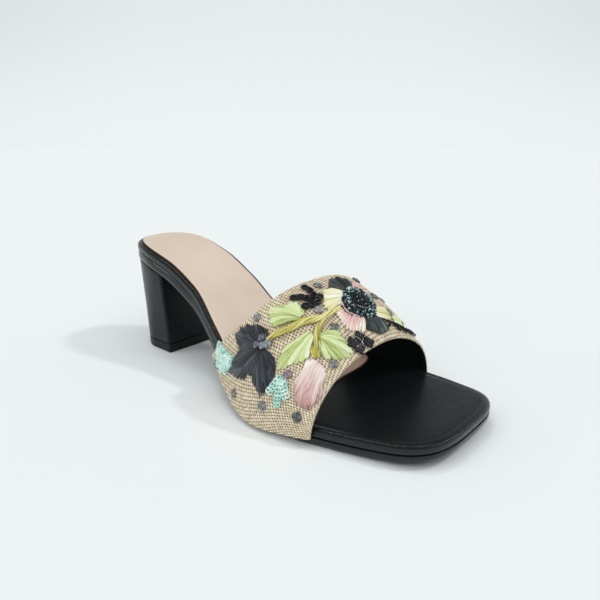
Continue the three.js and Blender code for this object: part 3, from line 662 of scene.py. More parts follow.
canvas = make_piece("strap_canvas", strap_points.reshape(-1, 3), strap_faces, canvas_finish,
                    "raffia_canvas", ["upper"])
canvas.data.materials.append(lining_leather)
canvas_columns = np.r_[np.arange((ROWS - 1) * count) % count, 0, 0]
lined = (canvas_columns >= COLUMNS + 3) & (canvas_columns < count - 4)
canvas.data.polygons.foreach_set("material_index", lined.astype(int))
weave_map = canvas.data.uv_layers.new(name="weave")
corner = np.zeros(len(canvas.data.loops), int)
canvas.data.loops.foreach_get("vertex_index", corner)
fold_run = edge_radius * np.broadcast_to(fold, (ROWS, len(fold)))
run_along = [face_x, mouth - edge_radius + fold_run, inner_x, rear + edge_radius - fold_run[:, ::-1]]
cloth_along, cloth_over = on_cloth(np.concatenate(run_along, 1), over_mm[:, None])
weave_at = np.stack([cloth_along.ravel(), cloth_over.ravel()], -1)
weave_map.data.foreach_set("uv", weave_at[corner].ravel())

# STRAP LINING. Thin smooth black leather glued inside the strap, just short of both turned
# edges, so that the inside of the mouth reads black.
LINING = 0.4
lining_around = np.linspace(1.0, 179.0, 121)[:, None]
lining_share = np.linspace(0, 1, 40)[None, :]
lining_x = mix(rear_edge(lining_around) + 1.0, mouth_edge(lining_around) - 1.0, lining_share)
edge_in = np.minimum(1, 14 * np.minimum(lining_share, 1 - lining_share))
faces_x = np.concatenate([lining_x, lining_x[:, ::-1]], 1)
inner_lift = -UPPER_WALL - LINING * np.broadcast_to(edge_in, lining_x.shape)
faces_lift = np.concatenate([np.full(lining_x.shape, -UPPER_WALL + 0.1), inner_lift[:, ::-1]], 1)
lining_points = on_strap(faces_x, lining_around, faces_lift)
wide = faces_x.shape[1]
cell = np.arange(120 * wide).reshape(120, wide)
beside = np.roll(cell, -1, 1)
lining_faces = np.stack([cell, beside, beside + wide, cell + wide], -1).reshape(-1, 4).tolist()
lining_faces += [list(range(wide))[::-1], [120 * wide + i for i in range(wide)]]
make_piece("strap_lining", lining_points.reshape(-1, 3), lining_faces, lining_leather, "black_leather")

# LEAVES. Three leaves of flat raffia, laid side by side from one root so that each ribbon is
# a rib. Every ribbon is a crowned strip that narrows at its root and is caught at its tip.
chance = np.random.default_rng(11)


def beside(place, ahead, over):
    """The places some millimetres ahead of a place along the shoe, and over the strap from it."""
    x, around = place
    along = last_point(x + 0.5, around) - last_point(x - 0.5, around)
    across = last_point(x, around + 0.5) - last_point(x, around - 0.5)
    unit = along / np.linalg.norm(along)
    skew = across @ unit
    turn = np.asarray(over, float) / np.sqrt(across @ across - skew * skew)
    return np.stack([x + (ahead - turn * skew) / np.linalg.norm(along), around + turn], -1)


def strand(path, half_width, half_thick, tone, roll=0.0, sway=0.0, closed=False, sides=8):
    """One thread along (x, around, lift) rows: its points, faces, and its own across, along and tone."""
    path = np.asarray(path, float)
    steps = len(path)

    def heading(middle):
        ahead = np.roll(middle, -1, 0) - np.roll(middle, 1, 0) if closed else np.gradient(middle, axis=0)
        ahead /= np.linalg.norm(ahead, axis=1)[:, None]
        out = strap_normal(path[:, 0], path[:, 1])
        side = np.cross(ahead, out)
        side /= np.linalg.norm(side, axis=1)[:, None]
        return side, np.cross(side, ahead)

    middle = on_strap(*path.T)
    if np.any(sway):
        middle = middle + heading(middle)[0] * np.broadcast_to(sway, steps)[:, None]
    side, out = heading(middle)
    side, out = np.cos(roll) * side + np.sin(roll) * out, np.cos(roll) * out - np.sin(roll) * side
    turn = np.arange(sides) / sides * 2 * np.pi
    wide = np.broadcast_to(half_width, steps)[:, None, None]
    thick = np.broadcast_to(half_thick, steps)[:, None, None]
    sideways = side[:, None] * np.cos(turn)[:, None] * wide
    outwards = out[:, None] * np.sin(turn)[:, None] * thick
    points = middle[:, None] + sideways + outwards
    run = np.concatenate([[0], np.cumsum(np.linalg.norm(np.diff(middle, axis=0), axis=1))])
    places = np.stack(np.broadcast_arrays(
        np.cos(turn)[None, :] * wide[..., 0], run[:, None], np.broadcast_to(tone, steps)[:, None]), -1)
    i = np.arange(sides)
    j = (i + 1) % sides
    laps = steps if closed else steps - 1
    faces = []
    for r in range(laps):
        a, b = r * sides, (r + 1) % steps * sides
        faces += np.stack([a + i, a + j, b + j, b + i], -1).tolist()
    if not closed:
        faces += [list(range(sides)), list(range(steps * sides - 1, (steps - 1) * sides - 1, -1))]
    return points.reshape(-1, 3), faces, places.reshape(-1, 3)


def sew(name, strands, finish, slot, stands_for=()):
    """Joins threads into one piece and keeps where each point lies on its thread."""
    points, faces, places, start = [], [], [], 0
    for strand_points, strand_faces, strand_places in strands:
        points.append(strand_points)
        places.append(strand_places + (len(places) * 7.3, 0, 0))
        faces += [[start + i for i in face] for face in strand_faces]
        start += len(strand_points)
    piece = make_piece(name, np.concatenate(points), faces, finish, slot, stands_for)
    thread = piece.data.attributes.new("thread", "FLOAT_VECTOR", "POINT")
    thread.data.foreach_set("vector", np.concatenate(places).ravel())
    return piece


def along_route(places, steps, ends=(0.0, 1.0)):
    """Evenly spaced places on a smooth line through the given ones."""
    places = np.asarray(places, float)
    points = last_point(places[:, 0], places[:, 1])
    run = np.concatenate([[0], np.cumsum(np.linalg.norm(np.diff(points, axis=0), axis=1))])
    at = np.linspace(ends[0], ends[1], steps) * run[-1]
    route = [smooth_curve(list(zip(run, places[:, k])))(at) for k in (0, 1)]
    return np.stack(route, -1), run[-1]


def ribbon_fan(root, tips, count, thick=0.42, lift=0.75, tone=(0.45, 0.6), fullness=1.15, neck=0.35,
               point=0.14, uneven=0.04, bow=0.0, steps=15, shade=0.13):
    """Flat ribbons from a root line to a line of tips, each with its own length, tilt and shade."""
    roots, _ = along_route(root, count)
    ends, width = along_route(tips, count, (0.5 / count, 1 - 0.5 / count))
    t = np.linspace(0, 1, steps)
    strands = []
    for k in range(count):
        reach = 1 - uneven * chance.random()
        way = (ends[k] - roots[k]) * reach
        share = 2 * (k + 0.5) / count - 1
        swing = bow * share * np.sin(np.pi * t) + chance.normal(0, 0.12) * np.sin(np.pi * t)
        x, around = (roots[k] + way * t[:, None]).T
        half = 0.5 * fullness * width / count * (neck + (1 - neck) * t ** 0.7) * (1 + 0.1 * chance.normal())
        half = half * np.sqrt(np.clip(1 - np.clip((t - 1 + point) / point, 0, 1) ** 2, 0.03, 1))
        crown = lift * (0.75 + 0.35 * np.sin(np.pi * t ** 0.8)) + 0.16 * (k % 2) + 0.08 * chance.normal()
        crown = np.maximum(crown - 0.45 * lift * t ** 6, 0.25)
        flat = thick * (0.75 + 0.25 * np.sin(np.pi * t)) * np.minimum(1, half / half.max() + 0.25)
        hue = mix(tone[0], tone[1], t) + shade * chance.normal()
        strands.append(strand(np.stack([x, around, crown], -1), half, flat, hue, chance.normal(0, 0.12),
                              swing))
    return strands


def raffia(name, colors, roughness=0.42, streaks=0.55):
    """Dyed raffia or silk: fine lengthwise streaks of colour and gloss over each thread's own tone."""
    finish = new_finish(name, colors[1], roughness, Specular_IOR_Level=0.5, Sheen_Weight=0.12,
                        Sheen_Roughness=0.4)
    thread = node(finish, "Attribute", 1, attribute_name="thread")
    node(finish, "SeparateXYZ", Vector=thread)
    tone = finish.node_tree.nodes[-1].outputs[2]
    stretched = node(finish, "Mapping", Vector=thread, Scale=(2.6, 0.16, 3.0))
    streak = noise(finish, 1.0, 4, 0.6, stretched)
    hair = noise(finish, 3.2, 2, 0.6, stretched)
    shift = math(finish, "MULTIPLY", math(finish, "SUBTRACT", streak, 0.5), streaks * 2)
    ramp = finish.node_tree.nodes.new("ShaderNodeValToRGB")
    stops = ramp.color_ramp.elements
    while len(stops) < len(colors):
        stops.new(0.5)
    for k, color in enumerate(colors):
        stops[k].position = k / (len(colors) - 1)
        stops[k].color = (*color, 1)
    finish.node_tree.links.new(math(finish, "ADD", tone, shift), ramp.inputs[0])
    height = math(finish, "ADD", math(finish, "MULTIPLY", streak, 0.7), math(finish, "MULTIPLY", hair, 0.3))
    drive(
        finish,
        Base_Color=ramp.outputs[0],
        Roughness=range_of(finish, hair, 0.3, 0.7, roughness - 0.1, roughness + 0.12),
        Normal=node(finish, "Bump", Strength=0.55, Distance=0.0006, Height=height),
    )
    return finish


leaf_green = raffia("pale_green_raffia", [(0.17, 0.19, 0.03), (0.46, 0.56, 0.19), (0.68, 0.76, 0.4),
                                          (0.86, 0.89, 0.68)])
sew("leaf_rear_ribbons", ribbon_fan(
    [(159.3, 73.4), (158.9, 69.7)],
    [(156.2, 75.8), (153.6, 75.2), (150.2, 75.3), (148.1, 71.5), (145.3, 68.9), (141.2, 64.0),
     (143.5, 62.3), (145.6, 60.0), (148.6, 58.3), (150.3, 57.1)], 10, uneven=0.08, bow=0.3), leaf_green,
     "green_thread", ["leaf_rear"])
sew("leaf_middle_ribbons", ribbon_fan(
    [(166.0, 68.6), (168.3, 68.2)],
    [(160.9, 53.0), (160.5, 47.5), (162.3, 39.7), (164.5, 43.5), (167.4, 46.7), (170.3, 51.0),
     (171.2, 56.4)],
    9, uneven=0.05, bow=0.7), leaf_green, "green_thread", ["leaf_middle"])
sew("leaf_front_ribbons", ribbon_fan(
    [(170.6, 70.6), (171.0, 68.6)],
    [(174.7, 79.6), (179.2, 79.5), (183.2, 79.5), (184.5, 77.7), (183.3, 73.4), (181.4, 69.1),
     (178.3, 64.6), (175.4, 64.9)],
    9, uneven=0.07, bow=0.4), leaf_green, "green_thread", ["leaf_front"])

# STEMS. Loose bundles of three or five flat olive raffia ribbons, laid over one another:
# one from the dark flower up to the brooch, and a branch that ends in a fringed tuft over the bud.
stem_olive = raffia("olive_raffia", [(0.1, 0.075, 0.008), (0.34, 0.28, 0.035), (0.58, 0.52, 0.12),
                                     (0.84, 0.8, 0.42)])
LAY = 30  # millimetres of stem in which a ribbon crosses over and back


def bundle(places, half, steps=56, lift=1.0, tone=(0.5, 0.5), taper=0.4, ribbons=5):
    route, length = along_route(places, steps)
    t = np.linspace(0, 1, steps)
    slim = 1 - taper * (1 - np.sin(np.pi * np.clip(t, 0.1, 0.9)))
    laid = []
    for ribbon in range(ribbons):
        angle = t * length / LAY * 2 * np.pi + ribbon * 2 * np.pi / ribbons + 0.3 * chance.normal()
        path = np.column_stack([route, lift + 0.42 * half * np.sin(angle) * slim])
        # Painted light and shade: the tone rises and falls with the ribbon's lift, lighter where it lies on
        # top of the bundle and darker where it passes under.
        hue = mix(tone[0], tone[1], t) + 0.16 * np.sin(angle) + 0.13 * chance.normal()
        wide = (0.4 + 0.08 * chance.random()) * half * slim
        laid.append(strand(path, wide, 0.2 * half, hue, 0.3 * chance.normal(),
                           0.72 * half * np.cos(angle) * slim))
    return laid


stem_bundle = bundle(
    [(151.2, 50.4), (154.0, 56), (156.6, 60.2), (158.9, 64.0), (160.7, 68.8), (162.9, 73.1), (165.0, 76.5),
     (166.4, 80.5), (166.9, 85), (167.2, 88.6)], 1.75, 72, 1.15, (0.45, 0.78))
stem_bundle += bundle([(153.0, 53.6), (156.8, 58.6), (159.6, 64.2), (161.4, 69.6)], 1.2, 40, 1.4,
                      (0.6, 0.5), ribbons=3)
stem_bundle += bundle([(167.2, 79.6), (167.4, 74.8), (168.7, 70.4), (170.8, 66.2), (172.6, 62.6)], 1.2, 44,
                      1.2, (0.62, 0.36))
stem_bundle += bundle([(168.4, 75.4), (170.2, 70.0), (174.4, 64.9)], 0.7, 34, 1.1, (0.3, 0.4), ribbons=3)
stem_bundle += ribbon_fan([(171.2, 64.4), (173.8, 64.0)],
                          [(170.4, 60.4), (171.8, 57.4), (174.4, 57.6), (176.0, 60.6)], 8,
                          tone=(0.35, 0.66), uneven=0.25, steps=9, lift=0.9)
sew("stem_ribbons", stem_bundle, stem_olive, "olive_thread", ["stem"])

# DARK FLOWER. Three jagged petals of navy silk laid in long fine stitches, in two layers, that
# spread from the flower's middle; the tips end unevenly, like a brush.
navy_silk = raffia("navy_silk", [(0.003, 0.004, 0.006), (0.009, 0.012, 0.018), (0.026, 0.034, 0.048),
                                 (0.12, 0.15, 0.18)], 0.33)
dark_petals = []
for tips, count in (
        ([(133.4, 34.6), (129.0, 36.8), (127.1, 39.6), (129.4, 44.8), (132.6, 49.4), (137.0, 53.2),
          (141.8, 55.9), (146.6, 56.0), (150.4, 53.6)], 30),
        ([(134.4, 34.8), (131.0, 26.7), (128.8, 20.0), (129.0, 16.4), (134.7, 18.3), (139.6, 21.0),
          (144.2, 23.4)], 22),
        ([(146.2, 27.6), (150.1, 25.4), (153.6, 22.8), (157.4, 19.8), (159.6, 21.9), (161.0, 28.2),
          (162.0, 34.2), (161.2, 39.8), (158.4, 44.8)], 26)):
    for layer, (share, height) in enumerate(((1.0, 0.6), (0.78, 1.0))):
        ends = np.array(tips) * share + np.array([(149.4, 46.6)]) * (1 - share)
        dark_petals += ribbon_fan(
            [(147.4, 46.6), (151.4, 45.4)], ends, count - 5 * layer, 0.3, height, (0.3, 0.46), 1.4, 0.5,
            0.4, 0.09, 0.5, 13, 0.2)
sew("dark_flower_stitches", dark_petals, navy_silk, "navy_thread", ["flower_dark"])

# PINK BUD. Long satin stitches of cream silk that deepen to rose at the pointed tip, drawn
# from a short top down to a frayed end in two layers, the upper one a little shorter.
bud_silk = raffia("rose_silk", [(0.32, 0.14, 0.13), (0.6, 0.36, 0.33), (0.76, 0.6, 0.55),
                                (0.88, 0.8, 0.75)], 0.4, 0.75)
bud = []
for share, height, count, tone in ((1.0, 0.6, 22, (0.82, 0.22)), (0.88, 1.05, 15, (0.88, 0.3))):
    ends = np.array([(171.2, 40.0), (171.6, 34.6), (173.6, 29.6), (176.0, 26.0), (178.6, 23.8),
                     (181.2, 24.0), (183.2, 27.6), (184.2, 33.0), (184.3, 39.0), (184.2, 44.4)])
    ends = ends * share + np.array([(177.4, 42.0)]) * (1 - share)
    bud += ribbon_fan([(172.4, 54.0), (174.6, 57.6), (178.4, 58.4), (181.2, 56.4)], ends, count, 0.42,
                      height, tone, 1.25, 0.7, 0.3, 0.14, 1.2, 15, 0.26)
sew("bud_stitches", bud, bud_silk, "pink_thread", ["bud_pink"])

# CHAIN STITCH FANS. Two small fans of aqua cotton, three arms on the front one and five on the
# rear one, worked in two or three rows of open loops, each pulled through the one before it.
aqua_cotton = raffia("aqua_cotton", [(0.06, 0.24, 0.24), (0.3, 0.62, 0.55), (0.52, 0.8, 0.7),
                                     (0.9, 0.96, 0.92)], 0.5, 0.6)
LINK = 1.75  # from one loop to the next
LOOP_HALF = 0.88


def chain_arm(start, end, rows=2, swell=1.0):
    """Rows of chain stitch between two places, each loop a closed thread that rises to its head."""
    route, length = along_route([start, end], 40)
    count = max(2, round(length / LINK))
    loops = []
    aim = last_point(*end) - last_point(*start)
    ahead = last_point(start[0] + 0.5, start[1]) - last_point(start[0] - 0.5, start[1])
    ahead /= np.linalg.norm(ahead)
    over = np.cross(strap_normal(*np.array(start, float)), ahead)
    way = np.array([aim @ ahead, aim @ over])
    way /= np.linalg.norm(way)
    turn = np.linspace(0, 2 * np.pi, 15)[:-1]
    for row in range(rows):
        for k in range(count):
            place = route[int(round((k + 0.5) / count * 39))]
            along = 0.72 * LINK * np.cos(turn)
            side = LOOP_HALF * swell * np.sin(turn) * (1 - 0.25 * np.cos(turn))
            side = side + (row - (rows - 1) / 2) * 1.9 * LOOP_HALF * swell
            spot = beside(place, along * way[0] - side * way[1], along * way[1] + side * way[0])
            lift = 0.62 + 0.32 * np.cos(turn) + 0.06 * chance.normal()
            # Painted highlight and shade: the tone follows the loop's lift, pale at its raised head and
            # dark at its low tail.
            hue = 0.52 + 0.22 * np.cos(turn) + 0.16 * chance.normal()
            loops.append(strand(np.column_stack([spot, lift]), 0.42, 0.36, hue, closed=True, sides=6))
    return loops


front_fan = []
for start, tip in (
        ((164.6, 37.4), (160.9, 25.6)), ((165.0, 36.0), (166.8, 20.2)), ((165.3, 37.0), (170.4, 27.8))):
    front_fan += chain_arm(start, tip)
sew("fan_front_chain", front_fan, aqua_cotton, "aqua_thread", ["fan_front"])
rear_fan = []
for tip, rows in (((114.4, 19.4), 3), ((112.6, 12.6), 3), ((113.6, 6.4), 2), ((119.6, 9.4), 2),
                  ((124.6, 12.8), 2)):
    rear_fan += chain_arm((130.0, 24.4), tip, rows)
sew("fan_rear_chain", rear_fan, aqua_cotton, "aqua_thread", ["fan_rear"])

# BEAD SPRIGS. Black glass: the rear sprig is three chains of oval rings, and the front one is
# four small lobes of overlapping sequins with lines of white knots between.


def glass(name, color=(0.003, 0.003, 0.0035), bright=(0.02, 0.02, 0.022), roughness=0.16):
    """Glossy glass that differs from bead to bead."""
    finish = new_finish(name, color, roughness, Specular_IOR_Level=0.4)
    thread = node(finish, "Attribute", 1, attribute_name="thread")
    node(finish, "SeparateXYZ", Vector=thread)
    tone = finish.node_tree.nodes[-1].outputs[2]
    cloud = noise(finish, 0.9, 2, 0.5, thread)
    drive(
        finish,
        Base_Color=shade_between(finish, range_of(finish, tone, 0.35, 0.95, 0.0, 1.0), color, bright),
        Roughness=range_of(finish, cloud, 0.3, 0.7, roughness * 0.6, roughness * 2.2),
        Normal=node(finish, "Bump", Strength=0.2, Distance=0.0002,
                    Height=noise(finish, 2.5, 2, 0.5, thread)),
    )
    return finish


def oval_ring(place, ahead, long_half, short_half, thread_half, lift=0.9, tone=0.5):
    """A ring of glass lying on the strap, its long way turned by an angle from straight ahead."""
    turn = np.linspace(0, 2 * np.pi, 19)[:-1]
    along, side = long_half * np.cos(turn), short_half * np.sin(turn)
    spot = beside(place, along * np.cos(ahead) - side * np.sin(ahead),
                  along * np.sin(ahead) + side * np.cos(ahead))
    return strand(np.column_stack([spot, np.full(18, lift)]), thread_half, thread_half, tone, closed=True,
                  sides=8)


def seed_bead(place, radius, lift, ahead=0.0, flat=0.62, sides=8, rounds=5, tone=0.5):
    """A small round bead: a fat ring seen from its side, standing on the strap."""
    t = np.linspace(-1, 1, rounds + 2)
    reach = radius * flat * t
    path = beside(place, reach * np.cos(ahead), reach * np.sin(ahead))
    girth = radius * np.sqrt(np.clip(1 - np.abs(t) ** 2.4, 0.06, 1))
    return strand(np.column_stack([path, np.full(len(t), lift + radius)]), girth, girth, tone, sides=sides)


jet = glass("jet_glass")
rings = []
for ring_route in ([(150.2, 86.0), (153.2, 85.6), (156.0, 85.1)],
                   [(150.5, 77.9), (152.8, 79.6), (155.2, 81.3), (157.2, 82.8)],
                   [(158.6, 86.2), (159.7, 83.2), (159.0, 80.2), (157.6, 77.4)]):
    for k, place in enumerate(ring_route):
        near = ring_route[min(k + 1, len(ring_route) - 1)]
        far = ring_route[max(k - 1, 0)]
        run = last_point(*near) - last_point(*far)
        ahead = last_point(place[0] + 0.5, place[1]) - last_point(place[0] - 0.5, place[1])
        ahead /= np.linalg.norm(ahead)
        over = np.cross(strap_normal(*np.array(place, float)), ahead)
        rings.append(oval_ring(place, np.arctan2(run @ over, run @ ahead), 1.75, 1.15, 0.78,
                               0.95 + 0.3 * (k % 2)))
sew("sprig_rear_rings", rings, jet, "black_beads", ["sprig_rear"])

sequins, white_knots = [], []
for lobe, size in (((180.4, 87.2), 2.3), ((180.6, 82.2), 2.6), ((183.4, 83.6), 2.7), ((183.5, 88.8), 2.4)):
    for k in range(12):
        angle = k / 12 * 2 * np.pi + 0.5 * chance.random()
        away = size * (0.3 + 0.3 * (k % 3))
        spot = beside(lobe, away * np.cos(angle), away * np.sin(angle))
        sequins.append(oval_ring(spot, angle + chance.normal(), 0.75, 0.5, 0.62,
                                 0.75 + 0.4 * chance.random()))
for start, end in (((179.6, 85.2), (182.0, 86.4)), ((182.0, 86.4), (183.6, 85.8)),
                   ((181.2, 88.6), (182.6, 85.0)), ((182.6, 85.0), (182.4, 82.4))):
    for place in along_route([start, end], 4)[0]:
        white_knots.append(seed_bead(place, 0.3, 1.15, chance.random() * 3, tone=0.9))
sew("sprig_front_sequins", sequins, jet, "black_beads", ["sprig_front"])
white_cotton = raffia("white_cotton", [(0.4, 0.4, 0.38), (0.62, 0.62, 0.6), (0.8, 0.8, 0.78),
                                       (0.92, 0.92, 0.9)], 0.6, 0.3)
sew("sprig_front_knots", white_knots, white_cotton, "black_beads")

# BROOCH. A low domed pad ringed by four rows of teal seed beads and a short row of lilac
# bugles round six faceted black stones. Raffia petals spread under it, black, rose and straw.
BROOCH = (0.707 * LENGTH, 97.4)
BROOCH_RADIUS, BROOCH_HEIGHT = 10, 3.4


def dome_lift(radius):
    return 0.4 + BROOCH_HEIGHT * np.sqrt(np.clip(1 - (radius / (BROOCH_RADIUS + 1)) ** 2, 0, 1)) * 0.72


def polar(place, radius, angle):
    return beside(place, radius * np.cos(angle), radius * np.sin(angle))


petal_black = raffia("charcoal_raffia", [(0.003, 0.005, 0.005), (0.01, 0.015, 0.016), (0.03, 0.042, 0.043),
                                         (0.2, 0.24, 0.23)], 0.34, 0.75)
petal_straw = raffia("straw_yellow_raffia", [(0.5, 0.36, 0.12), (0.72, 0.66, 0.3), (0.84, 0.8, 0.52),
                                             (0.93, 0.92, 0.8)], 0.42)
petal_pink = raffia("petal_rose_raffia", [(0.4, 0.14, 0.14), (0.66, 0.34, 0.32), (0.78, 0.54, 0.48),
                                          (0.9, 0.84, 0.72)], 0.42)
sew("brooch_petals_black", ribbon_fan(
    [(161.5, 94.5), (161.2, 101.5)],
    [(158.2, 91.8), (155.6, 91.4), (153.2, 93.6), (151.6, 97.0), (152.0, 101.6), (155.1, 105.0),
     (158.2, 106.0)],
    9, 0.5, 0.9, (0.35, 0.55), 1.1, 0.5, 0.2, 0.1, 0.2) + ribbon_fan(
    [(172.6, 93.6), (176.8, 100.4)],
    [(179.8, 90.6), (181.2, 91.9), (182.9, 94.0), (184.0, 97.4), (184.4, 101.0), (183.6, 105.0)],
    9, 0.55, 1.0, (0.3, 0.62), 1.05, 0.5, 0.22, 0.12, 0.2), petal_black, "petal_threads", ["brooch_petals"])
sew("brooch_petals_straw", ribbon_fan(
    [(161.6, 95.4), (165.6, 91.4)],
    [(157.0, 92.6), (156.8, 89.0), (159.0, 86.6), (161.2, 85.4), (163.2, 84.0), (166.2, 84.4)],
    10, 0.45, 0.85, (0.75, 0.45), 1.2, 0.6, 0.2, 0.1, 0.2) + ribbon_fan(
    [(173.8, 101.8), (176.4, 99.0)],
    [(175.0, 112.6), (177.4, 114.4), (179.7, 113.4), (180.4, 107.4)],
    8, 0.45, 0.85, (0.7, 0.45), 1.2, 0.6, 0.2, 0.1, 0.2), petal_straw, "petal_threads")
sew("brooch_petals_rose", ribbon_fan(
    [(166.2, 92.6), (173.8, 93.2)],
    [(167.2, 87.6), (168.6, 85.6), (171.0, 84.8), (174.4, 84.3), (177.4, 85.3), (178.7, 87.8),
     (180.0, 89.8)],
    12, 0.45, 0.9, (0.3, 0.95), 1.25, 0.7, 0.2, 0.08, 0.2) + ribbon_fan(
    [(161.6, 101.6), (166.4, 105.4)],
    [(158.8, 107.4), (159.2, 112.2), (162.6, 112.8), (167.0, 110.4)],
    9, 0.45, 0.8, (0.35, 0.85), 1.2, 0.6, 0.2, 0.08, 0.2), petal_pink, "petal_threads")
sew("brooch_leaf", ribbon_fan(
    [(179.2, 113.4), (181.2, 113.0)],
    [(178.8, 121.8), (180.6, 127.2), (181.8, 131.4), (184.4, 128.6), (184.3, 121.0)],
    7, 0.42, 0.7, (0.6, 0.75), 1.2, 0.4, 0.16, 0.1, 0.3), leaf_green, "green_thread")

pad = []
for radius in (8.2, 6.6, 4.8, 2.9, 1.0):
    angle = np.linspace(0, 2 * np.pi, 61)[:-1]
    path = np.column_stack([polar(BROOCH, radius, angle), np.full(60, 0.5 * dome_lift(radius))])
    pad.append(strand(path, 1.35, 0.5 * dome_lift(radius) - 0.2, 0.1, closed=True, sides=8))
teal = glass("teal_seed_glass", (0.006, 0.02, 0.023), (0.56, 0.74, 0.73), 0.2)
sew("brooch_pad", pad, teal, "brooch_beads", ["brooch"])
# Each seed bead takes a random tone on a ramp from dark teal to near white: partly bead-to-bead difference,
# partly painted highlight specks where a bead comes out pale.
teal_beads = []
for radius, size, over in ((9.3, 0.62, 0.0), (8.2, 0.6, 0.3), (7.2, 0.56, 0.4), (6.3, 0.5, 0.3)):
    count = int(2 * np.pi * radius / (1.6 * size))
    for k in range(count):
        angle = (k + 0.3 * chance.random()) / count * 2 * np.pi
        spot = polar(BROOCH, radius + 0.12 * chance.normal(), angle)
        rise = 0.9 * dome_lift(radius) - 0.6 + over + 0.1 * chance.normal()
        teal_beads.append(seed_bead(
            spot, size * (1 + 0.12 * chance.normal()), rise, angle + np.pi / 2, 0.6, 7, 3,
            chance.random() ** 1.5))
sew("brooch_seed_beads", teal_beads, teal, "brooch_beads")
lilac = glass("lilac_bugle_glass", (0.09, 0.07, 0.1), (0.5, 0.45, 0.52), 0.2)
bugles = []
for k in range(8):
    angle = -1.2 + 0.19 * k
    spot = polar(BROOCH, 5.2, angle)
    bugles.append(seed_bead(
        spot, 0.42, dome_lift(5.2), angle + np.pi / 2, 1.3, 7, 3, 0.4 + 0.3 * chance.random()))
sew("brooch_bugles", bugles, lilac, "brooch_beads")


def cut_stone(place, radius, lift, spin):
    """A faceted stone: a flat table, a band of facets and a girdle, on eight sides."""
    turn = spin + np.arange(8) / 8 * 2 * np.pi
    rows = []
    for size, rise, twist in ((0.35, 0, 0), (0.92, 0.2, 0), (1, 0.45, 0.5), (0.8, 0.82, 0), (0.45, 1, 0.5)):
        angle = turn + twist * np.pi / 8 * 2
        rows.append(on_strap(*polar(place, radius * size, angle).T, lift + rise * radius * 0.9))
    points = np.concatenate(rows)
    i = np.arange(8)
    faces = []
    for r in range(4):
        a, b, slip = r * 8, (r + 1) * 8, (r in (1, 3))
        j = (i + 1) % 8
        if slip:
            faces += np.stack([a + i, a + j, b + i], -1).tolist()
            faces += np.stack([a + j, b + j, b + i], -1).tolist()
        else:
            faces += np.stack([a + i, a + j, b + j], -1).tolist()
            faces += np.stack([a + i, b + j, b + i], -1).tolist()
    faces += [list(range(8))[::-1], list(range(32, 40))]
    return points, faces, np.column_stack([np.tile(np.cos(turn), 5), np.tile(np.sin(turn), 5),
                                           np.full(40, 0.5)])


stones = []
for k in range(5):
    spot = polar(BROOCH, 3.2, k / 5 * 2 * np.pi + 0.4)
    stones.append(cut_stone(spot, 2.1, dome_lift(4.2) - 1.4, k))
stones.append(cut_stone(BROOCH, 2.0, dome_lift(0) - 1.2, 0.3))
sew("brooch_stones", stones, jet, "brooch_beads")
for face in bpy.data.objects["brooch_stones"].data.polygons:
    face.use_smooth = False
# Painted glints: five tiny beads in the palest teal tone over the stones stand for white highlights.
painted_glints = [seed_bead(polar(BROOCH, reach, angle), 0.3, dome_lift(reach) + 0.3, angle, 0.7, 7, 3, 0.95)
          for reach, angle in ((4.2, 2.8), (2.6, -2.6), (1.2, -0.9), (3.4, -0.2), (3.0, -1.5))]
sew("brooch_painted_glints", painted_glints, teal, "brooch_beads")

# BEADED STEM. A line of small jet beads from the brooch down the far side of the strap, with a
# few bead leaves.
line, _ = along_route(
    [(178.2, 102.4), (180.6, 107.4), (182.8, 115.2), (185.2, 123.9), (185.6, 136.9)], 34)
stem_beads = [seed_bead(place, 0.62, 0.35, 1.2) for place in line]
for start, end in (((181.6, 109.8), (184.6, 112.6)), ((182.4, 113.2), (186.0, 117.6)),
                   ((183.9, 118.6), (181.9, 121.6)), ((184.8, 122.6), (186.6, 126.6)),
                   ((181.0, 108.0), (181.9, 104.6))):
    for place in along_route([start, end], 6)[0]:
        for way in (-0.5, 0.5):
            stem_beads.append(seed_bead(beside(place, way, -way * 0.6), 0.55, 0.4, 0.8))
sew("beaded_stem", stem_beads, jet, "black_beads")

# KNOTS. Flat knots of grey wool scattered over the canvas and four more in the dark flower's
# middle: a thread wound on itself and pulled down, so that its turns show.
grey_wool = raffia("grey_wool", [(0.05, 0.05, 0.05), (0.13, 0.13, 0.128), (0.25, 0.25, 0.245),
                                 (0.42, 0.42, 0.41)], 0.7, 0.6)
mauve_wool = raffia("mauve_wool", [(0.06, 0.04, 0.05), (0.16, 0.11, 0.13), (0.28, 0.2, 0.23),
                                   (0.44, 0.36, 0.38)], 0.7, 0.6)
blue_wool = raffia("blue_grey_wool", [(0.05, 0.055, 0.065), (0.13, 0.145, 0.17), (0.25, 0.27, 0.3),
                                      (0.44, 0.47, 0.5)], 0.7, 0.5)


def wound_knot(place, radius=2.5, lift=0.15, height=0.75):
    """A thread wound outwards from its middle, squarish, and its end pulled across the top."""
    turns = 3.6
    t = np.linspace(0, 1, 64)
    angle = chance.random() * 6.28 + t * turns * 2 * np.pi
    square = 1 + 0.12 * np.cos(4 * angle)
    reach = radius * (0.82 - 0.8 * t ** 1.2) * square * (1 + 0.06 * chance.normal())
    rise = lift + height * (0.35 + 0.75 * t ** 0.8)
    path = np.column_stack([polar(place, reach, angle), rise])
    return strand(path, 0.22 * radius, 0.2 * radius, 0.5 + 0.12 * chance.normal() + 0.2 * np.sin(angle * 3),
                  sides=7)


